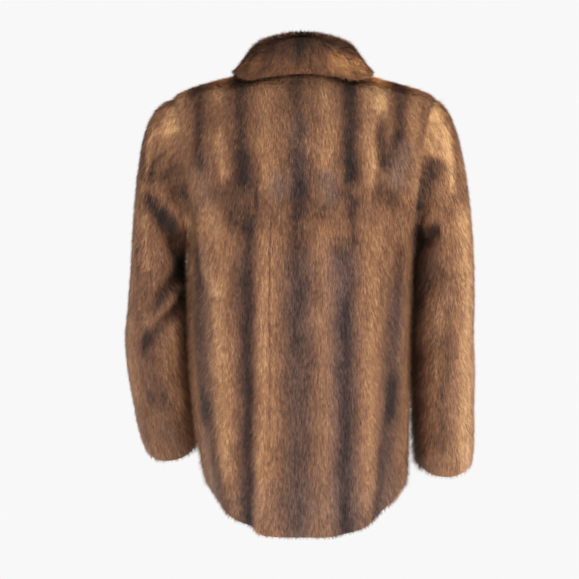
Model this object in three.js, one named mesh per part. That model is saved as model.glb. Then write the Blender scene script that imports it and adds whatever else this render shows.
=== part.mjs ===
// A woman's short mink coat, filled out as when worn: a back, two fronts, two sleeves and a turned-down
// collar. Millimetres, +Z up. The front faces -Y and the wearer's left is +X. The origin is at the base of
// the neck, between the shoulders that carry the coat.
import * as THREE from "three";

// Walls and seams
const WALL = 9; // pelt with its pile pressed down
const COLLAR_WALL = 8;
const COLLAR_EDGE_WALL = 6;
const SEAM_GAP = 0.3;
const ARMHOLE_GAP = 0.5; // more, because the armhole's edge twists
const COLLAR_CLEARANCE = 1.5; // under the fall's edge

// Outer form of the body: one row for each level, as half-widths and depths from the vertical axis
const BODY_LEVELS = [
  { z: -720, left: 138, right: 150, back: 141, front: 134, power: 2.3 },
  { z: -650, left: 144, right: 156, back: 138, front: 135, power: 2.3 },
  { z: -607, left: 154, right: 161, back: 136, front: 136, power: 2.3 },
  { z: -548, left: 165, right: 163, back: 132, front: 137, power: 2.3 },
  { z: -500, left: 170, right: 164, back: 128, front: 136, power: 2.3 },
  { z: -450, left: 175, right: 164, back: 124, front: 134, power: 2.3 },
  { z: -395, left: 178, right: 166, back: 120, front: 135, power: 2.3 },
  { z: -310, left: 179, right: 168, back: 120, front: 139, power: 2.3 },
  { z: -255, left: 179, right: 172, back: 121, front: 141, power: 2.3 },
  { z: -180, left: 188, right: 186, back: 123, front: 138, power: 2.4 },
  { z: -110, left: 197, right: 196, back: 120, front: 122, power: 2.4 },
  { z: -60, left: 201, right: 203, back: 108, front: 100, power: 2.3 },
  { z: -27, left: 199, right: 202, back: 92, front: 80, power: 2.2 },
  { z: -15, left: 176, right: 172, back: 83, front: 70, power: 2.2 },
  { z: -6, left: 146, right: 140, back: 75, front: 62, power: 2.1 },
  { z: 3, left: 111, right: 108, back: 68, front: 56, power: 2.1 },
  { z: 13, left: 70, right: 70, back: 60, front: 50, power: 2 },
  { z: 24, left: 60, right: 60, back: 54, front: 44, power: 2 },
];

// Levels of the pattern's corners, at the side or shoulder line and at the centre back and centre front
const HEM = { side: -631, back: -690, front: -652 };
const ARMPIT = { side: -255, back: -255, front: -255 };
const SHOULDER_TIP = { side: -27, back: -22, front: -112 };
const NECK = { side: 13, back: 16, front: -57 };
const FRONT_NECK = { halfWidth: 70, depth: 96 }; // seen from above
const ARMHOLE_BACK_WIDTH = 56;
const ARMHOLE_FRONT_WIDTH = 54;
const ARMHOLE_POWER = 2.1;
const HEM_FLAT = 0.12; // share of the half hem, from the centre, that hangs level
const HEM_CURVE = 2.1;

// Rows and columns of the faceted walls
const HEM_ROWS = 10;
const ARMHOLE_ROWS = 9;
const SHOULDER_ROWS = 3;
const BACK_COLUMNS = 42;
const FRONT_COLUMNS = 16;
const SLEEVE_CAP_ROWS = 10;
const SLEEVE_ROWS = 17;
const COLLAR_STAND_ROWS = 5;
const COLLAR_FALL_ROWS = 6;
// Columns keep their place up to here from the centre, so that only those beyond it make room for the
// armhole
const STEADY_SHARE = 0.55;

// Largest folds of the body. across is the distance from the centre back along the cloth, positive to the
// wearer's left. A negative height is a groove
const BODY_FOLDS = [
  { across0: 58, z0: -195, across1: 66, z1: -900, width: 16, height: 9 },
  { across0: 86, z0: -185, across1: 90, z1: -900, width: 14, height: -9 },
  { across0: 130, z0: -280, across1: 122, z1: -900, width: 20, height: 5 },
  { across0: 4, z0: -230, across1: 4, z1: -900, width: 20, height: -3 },
  { across0: -62, z0: -250, across1: -62, z1: -900, width: 17, height: -5 },
  { across0: -95, z0: -240, across1: -92, z1: -900, width: 19, height: 4 },
  { across0: -142, z0: -230, across1: -132, z1: -900, width: 20, height: -5 },
  { across0: 176, z0: -130, across1: 156, z1: -330, width: 13, height: 6 },
  { across0: 196, z0: -180, across1: 178, z1: -350, width: 12, height: -5 },
  { across0: -180, z0: -140, across1: -164, z1: -320, width: 14, height: 5 },
  { across0: 290, z0: -230, across1: 298, z1: -900, width: 24, height: -5 },
  { across0: 342, z0: -260, across1: 350, z1: -900, width: 24, height: 6 },
  { across0: 394, z0: -300, across1: 396, z1: -900, width: 22, height: -5 },
  { across0: -280, z0: -250, across1: -288, z1: -900, width: 24, height: -5 },
  { across0: -334, z0: -230, across1: -342, z1: -900, width: 24, height: 6 },
  { across0: -388, z0: -320, across1: -390, z1: -900, width: 22, height: -4 },
];
const FOLD_FADE = 0.22; // share of a fold's length over which it comes and goes

// Sleeve sections below the cap. Each has its centre, its half-widths across and fore-and-aft, and the lean
// of its plane: forward turns the lower edge back, outward turns it in
const SLEEVES = {
  left: {
    side: 1,
    capStart: 58, // how far the cap keeps the shoulder's direction, and then the arm's
    capEnd: 178,
    sections: [
      { x: 227, y: -14, z: -300, across: 45, deep: 62, forward: 0, outward: 3 },
      { x: 228, y: -14, z: -350, across: 47.5, deep: 61, forward: 3, outward: 2 },
      { x: 229.5, y: -16, z: -400, across: 51, deep: 60, forward: 9, outward: 0 },
      { x: 227, y: -26, z: -450, across: 51, deep: 58, forward: 15, outward: -3 },
      { x: 221, y: -43, z: -500, across: 50.5, deep: 55, forward: 19, outward: -5 },
      { x: 216.5, y: -60, z: -545, across: 48.5, deep: 51, forward: 21, outward: -6 },
      { x: 213, y: -71, z: -572, across: 44.5, deep: 49, forward: 22, outward: -6 },
      { x: 210.5, y: -77, z: -587, across: 41, deep: 47, forward: 22, outward: -6 },
    ],
    // around is degrees from the outer line, through the back at 90, to the body side at 180
    folds: [
      { around0: 40, z0: -170, around1: 185, z1: -300, width: 15, height: -10 },
      { around0: 60, z0: -150, around1: 158, z1: -246, width: 14, height: 6 },
      { around0: 195, z0: -262, around1: 66, z1: -372, width: 15, height: -10 },
      { around0: 158, z0: -320, around1: 66, z1: -398, width: 13, height: 5 },
      { around0: 180, z0: -318, around1: 44, z1: -430, width: 14, height: -9 },
      { around0: 150, z0: -395, around1: 30, z1: -450, width: 16, height: 4 },
      { around0: 110, z0: -480, around1: 48, z1: -528, width: 16, height: -5 },
      { around0: 10, z0: -112, around1: 72, z1: -170, width: 12, height: -5 },
      { around0: 310, z0: -290, around1: 205, z1: -400, width: 16, height: -8 },
      { around0: 320, z0: -230, around1: 210, z1: -320, width: 16, height: -6 },
    ],
  },
  right: {
    side: -1,
    capStart: 46,
    capEnd: 125,
    sections: [
      { x: 221, y: -14, z: -300, across: 49.5, deep: 62, forward: 0, outward: 2 },
      { x: 220.5, y: -14, z: -350, across: 50, deep: 61, forward: 3, outward: 1 },
      { x: 219.5, y: -16, z: -400, across: 50.5, deep: 60, forward: 8, outward: 0 },
      { x: 221, y: -24, z: -455, across: 52, deep: 58, forward: 14, outward: 1 },
      { x: 224, y: -38, z: -510, across: 50, deep: 55, forward: 18, outward: 2 },
      { x: 227.5, y: -53, z: -560, across: 49, deep: 52, forward: 21, outward: 2 },
      { x: 229.5, y: -65, z: -593, across: 47, deep: 50, forward: 23, outward: 2 },
      { x: 230, y: -71, z: -610, across: 44, deep: 48, forward: 24, outward: 2 },
    ],
    folds: [
      { around0: 60, z0: -110, around1: 185, z1: -240, width: 15, height: -9 },
      { around0: 90, z0: -232, around1: 200, z1: -268, width: 13, height: -8 },
      { around0: 80, z0: -196, around1: 150, z1: -246, width: 12, height: 5 },
      { around0: 95, z0: -290, around1: 175, z1: -360, width: 16, height: -5 },
      { around0: 70, z0: -385, around1: 170, z1: -450, width: 18, height: -4 },
      { around0: 320, z0: -240, around1: 210, z1: -330, width: 16, height: -6 },
      { around0: 310, z0: -330, around1: 205, z1: -420, width: 16, height: -8 },
    ],
  },
};
const SLEEVE_RADIUS = 54; // turns degrees round the sleeve into millimetres for its folds
// Under the arm the cap turns close to the body. At the shoulder it leaves outwards, with a slight drop
const CAP_UNDER = { start: 32, end: 40 };
const CAP_OUTWARDS = { share: 0.9, drop: 0.1, power: 1.5 };
// Share of the cap's length at which its folds begin, and over which they reach their height
const CAP_FOLDS = { from: 0.2, over: 0.4 };

// Collar, from the centre back at away 0 through the shoulder line at 1 to the centre front at 2: the
// roll's height above the neck seam, and where the fall's edge lies on the body, as seen from above. lift
// arches the fall over the chest
const COLLAR_FORM = [
  { away: 0, roll: 48, x: 0, y: 77, lift: 0 },
  { away: 0.25, roll: 47.5, x: 38, y: 78, lift: 0 },
  { away: 0.5, roll: 46, x: 76, y: 78, lift: 0 },
  { away: 0.7, roll: 45, x: 96, y: 68, lift: 0 },
  { away: 0.85, roll: 43.5, x: 103, y: 45, lift: 0 },
  { away: 1, roll: 42, x: 105, y: 12, lift: 0 },
  { away: 1.2, roll: 38, x: 106, y: -22, lift: 2 },
  { away: 1.4, roll: 34, x: 105, y: -50, lift: 5 },
  { away: 1.7, roll: 28, x: 98, y: -88, lift: 8 },
  { away: 2, roll: 22, x: 82, y: -120, lift: 10 },
];
const COLLAR_ENDS_AT = 1.95;
const ROLL_INSET = 6;
const ROLL_PULL = 15;
const STAND_PULL = 0.45; // share of the roll's height
const EDGE_PULL = 24;

const MATERIALS = {
  fur: { color: 0x8a5f43, roughness: 0.75, metalness: 0 },
  sleeveFur: { color: 0x94684a, roughness: 0.75, metalness: 0 },
  collarFur: { color: 0x6b4632, roughness: 0.75, metalness: 0 },
};

// Steps of the searches and arcs, and the nudges that give normals
const ARC_STEPS = 40;
const PLACE_SEARCH_STEPS = 40;
const EDGE_SEARCH_STEPS = 30;
const LOWEST_PLACE = -200;
const NUDGE = 1e-3;
const Z_PER_LEVEL = 100; // lets one nudge serve both parameters of the body
const LEVEL_LIMITS = [-8, 1];
const COLUMN_NUDGE = 0.5;
const ROW_NUDGE = 0.02;
const TINY = 1e-9;

const lerp = (a, b, t) => a + (b - a) * t;
const clamp01 = (t) => Math.min(1, Math.max(0, t));
const ease = (t) => clamp01(t) ** 2 * (3 - 2 * clamp01(t));
const vec = (x, y, z) => new THREE.Vector3(x, y, z);

// One column of a table at a value of its key, by a cubic through the rows
function readTable(table, key, value, column) {
  const rising = table[table.length - 1][key] > table[0][key];
  const passed = (row) => (rising ? row[key] <= value : row[key] >= value);
  let i = table.findLastIndex(passed);
  i = Math.min(table.length - 2, Math.max(0, i));
  const slope = (j) => {
    const before = table[Math.max(0, j - 1)];
    const after = table[Math.min(table.length - 1, j + 1)];
    return (after[column] - before[column]) / (after[key] - before[key]);
  };
  const [p, q] = [table[i], table[i + 1]];
  const span = q[key] - p[key];
  const t = clamp01((value - p[key]) / span);
  const h00 = 2 * t ** 3 - 3 * t ** 2 + 1;
  const h10 = t ** 3 - 2 * t ** 2 + t;
  const h01 = 3 * t ** 2 - 2 * t ** 3;
  const h11 = t ** 3 - t ** 2;
  return h00 * p[column] + h10 * span * slope(i) + h01 * q[column] + h11 * span * slope(i + 1);
}

// A quarter of a superellipse from the middle line, share 0, to the side line, share 1, by equal arc length
function quarter(halfWidth, depth, power, share) {
  const end = Math.PI / 2 - TINY;
  const at = (t) => [
    halfWidth * Math.sin(t) ** (2 / power),
    depth * Math.cos(t) ** (2 / power),
  ];
  const lengths = [0];
  let last = at(0);
  for (let i = 1; i <= ARC_STEPS; i++) {
    const next = at(Math.min(end, (i / ARC_STEPS) * (Math.PI / 2)));
    lengths.push(lengths[i - 1] + Math.hypot(next[0] - last[0], next[1] - last[1]));
    last = next;
  }
  const total = lengths[ARC_STEPS];
  const wanted = clamp01(share) * total;
  let i = 0;
  while (i < ARC_STEPS - 1 && lengths[i + 1] < wanted) i++;
  const part = (wanted - lengths[i]) / (lengths[i + 1] - lengths[i]);
  const t = Math.min(((i + part) / ARC_STEPS) * (Math.PI / 2), end);
  const [x, y] = at(Math.max(0, t));
  return { x, y, total };
}

// Sum of the folds at a place. Each fold is a soft line between two ends
function foldHeight(folds, across, z) {
  let height = 0;
  for (const f of folds) {
    const [dx, dz] = [f.across1 - f.across0, f.z1 - f.z0];
    const along = ((across - f.across0) * dx + (z - f.z0) * dz) / (dx * dx + dz * dz);
    if (along < 0 || along > 1) continue;
    const off = ((across - f.across0) * dz - (z - f.z0) * dx) / Math.hypot(dx, dz);
    const fade = ease(along / FOLD_FADE) * ease((1 - along) / FOLD_FADE);
    height += f.height * fade * Math.exp(-((off / f.width) ** 2));
  }
  return height;
}

// A point of the body's outer form before folds. turn runs from 0 at the centre back through 1 at the
// wearer's left side to 2 at the centre front, and through -1 at the right side to -2
function bodyForm(turn, z) {
  const side = turn < 0 ? -1 : 1;
  const away = Math.abs(turn);
  const column = (name) => readTable(BODY_LEVELS, "z", z, name);
  const halfWidth = column(side > 0 ? "left" : "right");
  const power = column("power");
  const inFront = away > 1;
  const depth = column(inFront ? "front" : "back");
  const p = quarter(halfWidth, depth, power, inFront ? 2 - away : away);
  const backLength = inFront ? quarter(halfWidth, column("back"), power, 1).total : p.total;
  const across = inFront ? backLength + (away - 1) * p.total : away * p.total;
  return { point: vec(side * p.x, inFront ? -p.y : p.y, z), across: side * across };
}

// Place on the body's outer form under a point of the plan
function turnUnder(x, y, side) {
  const reach = (z) => {
    const column = (name) => readTable(BODY_LEVELS, "z", z, name);
    const power = column("power");
    const share = (value, name) => (Math.abs(value) / column(name)) ** power;
    return share(x, side > 0 ? "left" : "right") + share(y, y < 0 ? "front" : "back");
  };
  let [low, high] = [LOWEST_PLACE, BODY_LEVELS[BODY_LEVELS.length - 1].z];
  for (let i = 0; i < PLACE_SEARCH_STEPS; i++) {
    const middle = (low + high) / 2;
    if (reach(middle) < 1) low = middle;
    else high = middle;
  }
  const z = (low + high) / 2;
  let [near, far] = y < 0 ? [1, 2] : [0, 1];
  for (let i = 0; i < PLACE_SEARCH_STEPS; i++) {
    const middle = (near + far) / 2;
    const within = Math.abs(bodyForm(side * middle, z).point.x) < x;
    if (within === y < 0) far = middle;
    else near = middle;
  }
  return { turn: (side * (near + far)) / 2, z };
}

// Outward normal of a surface of two parameters, from points close by
function normalOf(surface, u, v, uLimits, vLimits) {
  const [u0, u1] = [Math.max(uLimits[0], u - NUDGE), Math.min(uLimits[1], u + NUDGE)];
  const [v0, v1] = [Math.max(vLimits[0], v - NUDGE), Math.min(vLimits[1], v + NUDGE)];
  const du = surface(u1, v).sub(surface(u0, v));
  const dv = surface(u, v1).sub(surface(u, v0));
  return dv.cross(du).normalize();
}

const bodyBase = (turn, level) => bodyForm(turn, level * Z_PER_LEVEL).point;
const turnLimits = (turn) => {
  const away = Math.abs(turn) > 1 ? [1, 2] : [0, 1];
  return turn < 0 ? [-away[1], -away[0]] : away;
};

function bodySurface(turn, level) {
  const { point, across } = bodyForm(turn, level * Z_PER_LEVEL);
  const height = foldHeight(BODY_FOLDS, across, level * Z_PER_LEVEL);
  if (height === 0) return point;
  const n = normalOf(bodyBase, turn, level, turnLimits(turn), LEVEL_LIMITS);
  return point.addScaledVector(n, height);
}

// The body's outer point and the wall's normal there
function bodyPair({ turn, z }) {
  const level = z / Z_PER_LEVEL;
  const n = normalOf(bodySurface, turn, level, turnLimits(turn), LEVEL_LIMITS);
  return { outer: bodySurface(turn, level), normal: n };
}

// Levels of a panel's rows along its side line, and how far up each pattern stretch they are
function panelRows() {
  const rows = [];
  for (let i = 0; i < HEM_ROWS; i++) rows.push({ from: HEM, to: ARMPIT, share: i / HEM_ROWS });
  for (let i = 0; i < ARMHOLE_ROWS; i++) {
    const share = (1 - Math.cos((Math.PI * i) / ARMHOLE_ROWS)) / 2;
    rows.push({ from: ARMPIT, to: SHOULDER_TIP, share, armhole: i });
  }
  for (let i = 0; i <= SHOULDER_ROWS; i++) {
    rows.push({ from: SHOULDER_TIP, to: NECK, share: i / SHOULDER_ROWS });
  }
  return rows;
}

// How much of the centre's level a column takes: 1 at the centre, 0 at the side line
function centreShare(row, away) {
  if (row.from !== HEM) return ease(1 - away);
  const hem = 1 - Math.sin((Math.PI / 2) * clamp01((away - HEM_FLAT) / (1 - HEM_FLAT))) ** HEM_CURVE;
  return lerp(hem, ease(1 - away), row.share);
}

function rowLevel(row, away, half) {
  const side = lerp(row.from.side, row.to.side, row.share);
  const centre = lerp(row.from[half], row.to[half], row.share);
  return lerp(side, centre, centreShare(row, away));
}

// Place of a column of a row. Above the armhole a front runs up to its neckline, which is drawn in plan
function rowPlace(row, away, half, side) {
  if (half === "back") return { turn: side * away, z: rowLevel(row, away, half) };
  if (row.to !== NECK) return { turn: side * (2 - away), z: rowLevel(row, away, half) };
  const start = rowLevel({ ...row, to: SHOULDER_TIP, share: 0 }, away, half);
  const angle = ((1 - away) * Math.PI) / 2;
  const x = FRONT_NECK.halfWidth * Math.cos(angle);
  const neck = turnUnder(x, -FRONT_NECK.depth * Math.sin(angle), side);
  return { turn: lerp(side * (2 - away), neck.turn, row.share), z: lerp(start, neck.z, row.share) };
}

// The armhole's half-width in y at a level of the side line
function armholeWidth(z, width) {
  const middle = (ARMPIT.side + SHOULDER_TIP.side) / 2;
  const half = (SHOULDER_TIP.side - ARMPIT.side) / 2;
  const share = clamp01(Math.abs(z - middle) / half);
  return width * (1 - share ** ARMHOLE_POWER) ** (1 / ARMHOLE_POWER);
}

// Turn at which a row of the back or front ends: the side line, or the armhole's edge
function rowEnd(row, side, half) {
  const z = rowLevel(row, 1, half);
  const inFront = half === "front";
  if (row.armhole === undefined || row.armhole === 0) return 1;
  const wanted = armholeWidth(z, inFront ? ARMHOLE_FRONT_WIDTH : ARMHOLE_BACK_WIDTH);
  let [low, high] = inFront ? [1, 2] : [0, 1];
  for (let i = 0; i < EDGE_SEARCH_STEPS; i++) {
    const middle = (low + high) / 2;
    const away = inFront ? 2 - middle : middle;
    const y = Math.abs(bodyForm(side * middle, rowLevel(row, away, half)).point.y);
    if (inFront ? y < wanted : y > wanted) low = middle;
    else high = middle;
  }
  return (low + high) / 2;
}

const turnOfGap = (z, side) => SEAM_GAP / 2 / bodyForm(side, z).across / side;

// A closed wall between two grids of points, open or closed around
function wall(outer, inner, closedAround) {
  const rows = outer.length;
  const columns = outer[0].length;
  const points = [...outer.flat(), ...inner.flat()];
  const inside = rows * columns;
  const index = [];
  const quad = (a, b, c, d) => index.push(a, b, c, a, c, d);
  const spans = closedAround ? columns : columns - 1;
  const at = (r, c) => r * columns + (c % columns);
  const under = (r, c) => inside + at(r, c);
  for (let r = 0; r < rows - 1; r++) {
    for (let c = 0; c < spans; c++) {
      quad(at(r, c), at(r, c + 1), at(r + 1, c + 1), at(r + 1, c));
      quad(under(r, c + 1), under(r, c), under(r + 1, c), under(r + 1, c + 1));
    }
    if (closedAround) continue;
    const end = columns - 1;
    quad(under(r, 0), at(r, 0), at(r + 1, 0), under(r + 1, 0));
    quad(at(r, end), under(r, end), under(r + 1, end), at(r + 1, end));
  }
  for (let c = 0; c < spans; c++) {
    quad(under(0, c), under(0, c + 1), at(0, c + 1), at(0, c));
    const top = rows - 1;
    quad(at(top, c), at(top, c + 1), under(top, c + 1), under(top, c));
  }
  const geometry = new THREE.BufferGeometry();
  const numbers = points.flatMap((p) => p.toArray());
  geometry.setAttribute("position", new THREE.Float32BufferAttribute(numbers, 3));
  geometry.setIndex(signedVolume(points, index) < 0 ? index.reverse() : index);
  geometry.computeVertexNormals();
  return geometry;
}

function signedVolume(points, index) {
  let volume = 0;
  for (let i = 0; i < index.length; i += 3) {
    const [a, b, c] = [points[index[i]], points[index[i + 1]], points[index[i + 2]]];
    volume += a.dot(b.clone().cross(c));
  }
  return volume;
}

const inwards = (pair, thickness = WALL) => pair.outer.clone().addScaledVector(pair.normal, -thickness);

function grids(pairs, thickness) {
  const outer = pairs.map((row) => row.map((p) => p.outer));
  const inner = pairs.map((row) => row.map((p) => inwards(p, thickness)));
  return [outer, inner];
}

function columnPlace(share, edge) {
  if (share <= STEADY_SHARE) return share;
  return lerp(STEADY_SHARE, edge, (share - STEADY_SHARE) / (1 - STEADY_SHARE));
}

// The back: each row runs from the right edge over the centre to the left edge
function backPairs() {
  return panelRows().map((row) => {
    const edge = (side) => rowEnd(row, side, "back") - turnOfGap(rowLevel(row, 1, "back"), side);
    const edges = { left: edge(1), right: edge(-1) };
    return Array.from({ length: BACK_COLUMNS + 1 }, (_, c) => {
      const share = (2 * c) / BACK_COLUMNS - 1;
      const side = share < 0 ? -1 : 1;
      const away = columnPlace(Math.abs(share), side < 0 ? edges.right : edges.left);
      return bodyPair(rowPlace(row, away, "back", side));
    });
  });
}

// A front: each row runs from the side or armhole edge to the centre front
function frontPairs(side) {
  return panelRows().map((row) => {
    const gap = turnOfGap(rowLevel(row, 1, "front"), side);
    const edge = 2 - rowEnd(row, side, "front") - gap;
    return Array.from({ length: FRONT_COLUMNS + 1 }, (_, c) => {
      const away = Math.max(gap, columnPlace(1 - c / FRONT_COLUMNS, edge));
      return bodyPair(rowPlace(row, away, "front", side));
    });
  });
}

// The armhole's edge as the sleeve meets it: from the shoulder tip down the back to the armpit and up the
// front
function armholeEdge(side) {
  const rows = panelRows();
  const first = rows.findIndex((row) => row.armhole === 0);
  const tip = first + ARMHOLE_ROWS;
  const edge = [];
  const add = (row, half) => {
    const end = row.armhole ? rowEnd(row, side, half) : 1;
    const away = half === "front" ? 2 - end : end;
    edge.push(bodyPair(rowPlace(row, away, half, side)));
  };
  for (let r = tip; r >= first; r--) add(rows[r], "back");
  for (let r = first + 1; r < tip; r++) add(rows[r], "front");
  return edge;
}

// Twice as many points round the armhole, each with the way straight out of the seam and the sleeve's
// heading
function sleeveStart(side) {
  const edge = armholeEdge(side);
  const n = edge.length;
  const full = [];
  edge.forEach((pair, i) => {
    const next = edge[(i + 1) % n];
    full.push(pair);
    full.push({
      outer: pair.outer.clone().lerp(next.outer, 0.5),
      normal: pair.normal.clone().lerp(next.normal, 0.5),
    });
  });
  const m = full.length;
  return full.map((pair, i) => {
    const along = full[(i + 1) % m].outer.clone().sub(full[(i + m - 1) % m].outer);
    const leave = pair.normal.clone().cross(along).multiplyScalar(-side).normalize();
    const topness = Math.max(0, Math.cos((2 * Math.PI * i) / m)) ** CAP_OUTWARDS.power;
    const out = vec(side, 0, -CAP_OUTWARDS.drop).normalize();
    const heading = leave.clone().lerp(out, topness * CAP_OUTWARDS.share).normalize();
    return { ...pair, leave, heading };
  });
}

function sleeveSection(sleeve, z) {
  const read = (name) => readTable(sleeve.sections, "z", z, name);
  const forward = THREE.MathUtils.degToRad(read("forward"));
  const outward = THREE.MathUtils.degToRad(read("outward"));
  return {
    centre: vec(sleeve.side * read("x"), read("y"), z),
    across: vec(sleeve.side * Math.cos(outward), 0, Math.sin(outward)).multiplyScalar(read("across")),
    deep: vec(0, Math.cos(forward), -Math.sin(forward)).multiplyScalar(read("deep")),
    down: vec(sleeve.side * Math.sin(outward), -Math.sin(forward), -1).normalize(),
  };
}

function sectionPoint(section, around) {
  return section.centre
    .clone()
    .addScaledVector(section.across, Math.cos(around))
    .addScaledVector(section.deep, Math.sin(around));
}

// Angle round the sleeve of each point of the armhole, by its share of the way round
function anglesAround(start) {
  const n = start.length;
  const underarm = n / 2;
  const lengths = [0];
  for (let i = 1; i <= n; i++) {
    lengths.push(lengths[i - 1] + start[i % n].outer.distanceTo(start[i - 1].outer));
  }
  return start.map((_, i) => {
    const inBack = i <= underarm;
    const [from, to] = inBack ? [0, lengths[underarm]] : [lengths[underarm], lengths[n]];
    return Math.PI * ((inBack ? 0 : 1) + (lengths[i] - from) / (to - from));
  });
}

// The sleeve's outer surface before folds. column counts points round the sleeve. row runs from 0 at the
// armhole through 1 at the first section to 2 at the cuff
function sleeveBase(sleeve, start, angles, column, row) {
  const n = start.length;
  const i = ((Math.floor(column) % n) + n) % n;
  const j = (i + 1) % n;
  const part = column - Math.floor(column);
  const nextAngle = j === 0 ? 2 * Math.PI : angles[j];
  const around = lerp(angles[i], nextAngle, part);
  const sections = sleeve.sections;
  const [top, bottom] = [sections[0].z, sections[sections.length - 1].z];
  if (row >= 1) return sectionPoint(sleeveSection(sleeve, lerp(top, bottom, row - 1)), around);
  const from = start[i].outer.clone().lerp(start[j].outer, part);
  const heading = start[i].heading.clone().lerp(start[j].heading, part);
  const first = sleeveSection(sleeve, top);
  const to = sectionPoint(first, around);
  const under = ease((1 - Math.cos(around)) / 2);
  const p1 = from.clone().addScaledVector(heading, lerp(sleeve.capStart, CAP_UNDER.start, under));
  const p2 = to.clone().addScaledVector(first.down, -lerp(sleeve.capEnd, CAP_UNDER.end, under));
  return bezier(from, p1, p2, to, row);
}

function sleeveFoldHeight(sleeve, around, z) {
  const folds = sleeve.folds.map((f) => ({
    across0: THREE.MathUtils.degToRad(f.around0) * SLEEVE_RADIUS,
    across1: THREE.MathUtils.degToRad(f.around1) * SLEEVE_RADIUS,
    z0: f.z0,
    z1: f.z1,
    width: f.width,
    height: f.height,
  }));
  return foldHeight(folds, around * SLEEVE_RADIUS, z);
}

function sleevePairs(name) {
  const sleeve = SLEEVES[name];
  const start = sleeveStart(sleeve.side);
  const angles = anglesAround(start);
  const n = start.length;
  const base = (column, row) => sleeveBase(sleeve, start, angles, column, row);
  const outwards = sleeve.side;
  const rows = [];
  for (let r = 1; r <= SLEEVE_CAP_ROWS; r++) rows.push(r / SLEEVE_CAP_ROWS);
  for (let r = 1; r <= SLEEVE_ROWS; r++) rows.push(1 + r / SLEEVE_ROWS);
  const folded = (column, row) => {
    const p = base(column, row);
    const i = ((Math.floor(column) % n) + n) % n;
    const next = i + 1 === n ? 2 * Math.PI : angles[i + 1];
    const height = sleeveFoldHeight(sleeve, lerp(angles[i], next, column - Math.floor(column)), p.z);
    if (height === 0) return p;
    const shown = ease((row - CAP_FOLDS.from) / CAP_FOLDS.over);
    return p.addScaledVector(spread(base, column, row, outwards), height * shown);
  };
  const first = start.map((s) => ({
    outer: s.outer.clone().addScaledVector(s.leave, ARMHOLE_GAP),
    normal: s.normal,
  }));
  return [
    first,
    ...rows.map((row) =>
      start.map((_, c) => ({ outer: folded(c, row), normal: spread(folded, c, row, outwards) })),
    ),
  ];
}

// Normal of the sleeve, over a stretch wide enough to pass its corner points smoothly
function spread(surface, column, row, outwards) {
  const [r0, r1] = [Math.max(0, row - ROW_NUDGE), Math.min(2, row + ROW_NUDGE)];
  const round = surface(column + COLUMN_NUDGE, row).sub(surface(column - COLUMN_NUDGE, row));
  const down = surface(column, r1).sub(surface(column, r0));
  return round.cross(down).multiplyScalar(-outwards).normalize();
}

// The neck seam from the right centre front over the centre back to the left centre front
function neckSeam() {
  const rows = panelRows();
  const top = rows[rows.length - 1];
  const seam = [];
  const add = (turn, half) => {
    const away = half === "back" ? Math.abs(turn) : 2 - Math.abs(turn);
    seam.push({ turn, ...bodyPair(rowPlace(top, away, half, turn < 0 ? -1 : 1)) });
  };
  const last = COLLAR_ENDS_AT;
  for (let c = 0; c <= FRONT_COLUMNS; c++) add(lerp(-last, -1, c / FRONT_COLUMNS), "front");
  for (let c = 2; c < BACK_COLUMNS; c += 2) add(lerp(-1, 1, c / BACK_COLUMNS), "back");
  for (let c = 0; c <= FRONT_COLUMNS; c++) add(lerp(1, last, c / FRONT_COLUMNS), "front");
  return seam;
}

// The collar's visible side over one point of the seam: up inside the neck, over the roll and down the fall
function collarPath(seamPoint, inner, leave, turn) {
  const away = Math.abs(turn);
  const side = turn < 0 ? -1 : 1;
  const read = (name) => readTable(COLLAR_FORM, "away", away, name);
  const roll = read("roll");
  const place = bodyPair(turnUnder(read("x"), read("y"), side));
  const edge = place.outer.addScaledVector(place.normal, COLLAR_CLEARANCE + COLLAR_EDGE_WALL);
  const out = leave.clone().setZ(0).normalize().negate();
  const apex = seamPoint.clone().addScaledVector(out, -ROLL_INSET).add(vec(0, 0, roll));
  return { inner, apex, edge, out, roll, lift: place.normal.multiplyScalar(read("lift")) };
}

const bezier = (a, b, c, d, t) =>
  a
    .clone()
    .multiplyScalar((1 - t) ** 3)
    .addScaledVector(b, 3 * (1 - t) ** 2 * t)
    .addScaledVector(c, 3 * (1 - t) * t ** 2)
    .addScaledVector(d, t ** 3);

function collarSurface(path, row) {
  const up = vec(0, 0, 1);
  if (row <= 1) {
    const foot = path.inner.clone().addScaledVector(up, path.roll * STAND_PULL);
    const under = path.apex.clone().addScaledVector(path.out, -ROLL_PULL);
    return bezier(path.inner, foot, under, path.apex, row);
  }
  const slope = path.edge.clone().sub(path.apex).normalize();
  const near = path.edge.clone().addScaledVector(slope, -EDGE_PULL).add(path.lift);
  const over = path.apex.clone().addScaledVector(path.out, ROLL_PULL).add(path.lift);
  return bezier(path.apex, over, near, path.edge, row - 1);
}

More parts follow.
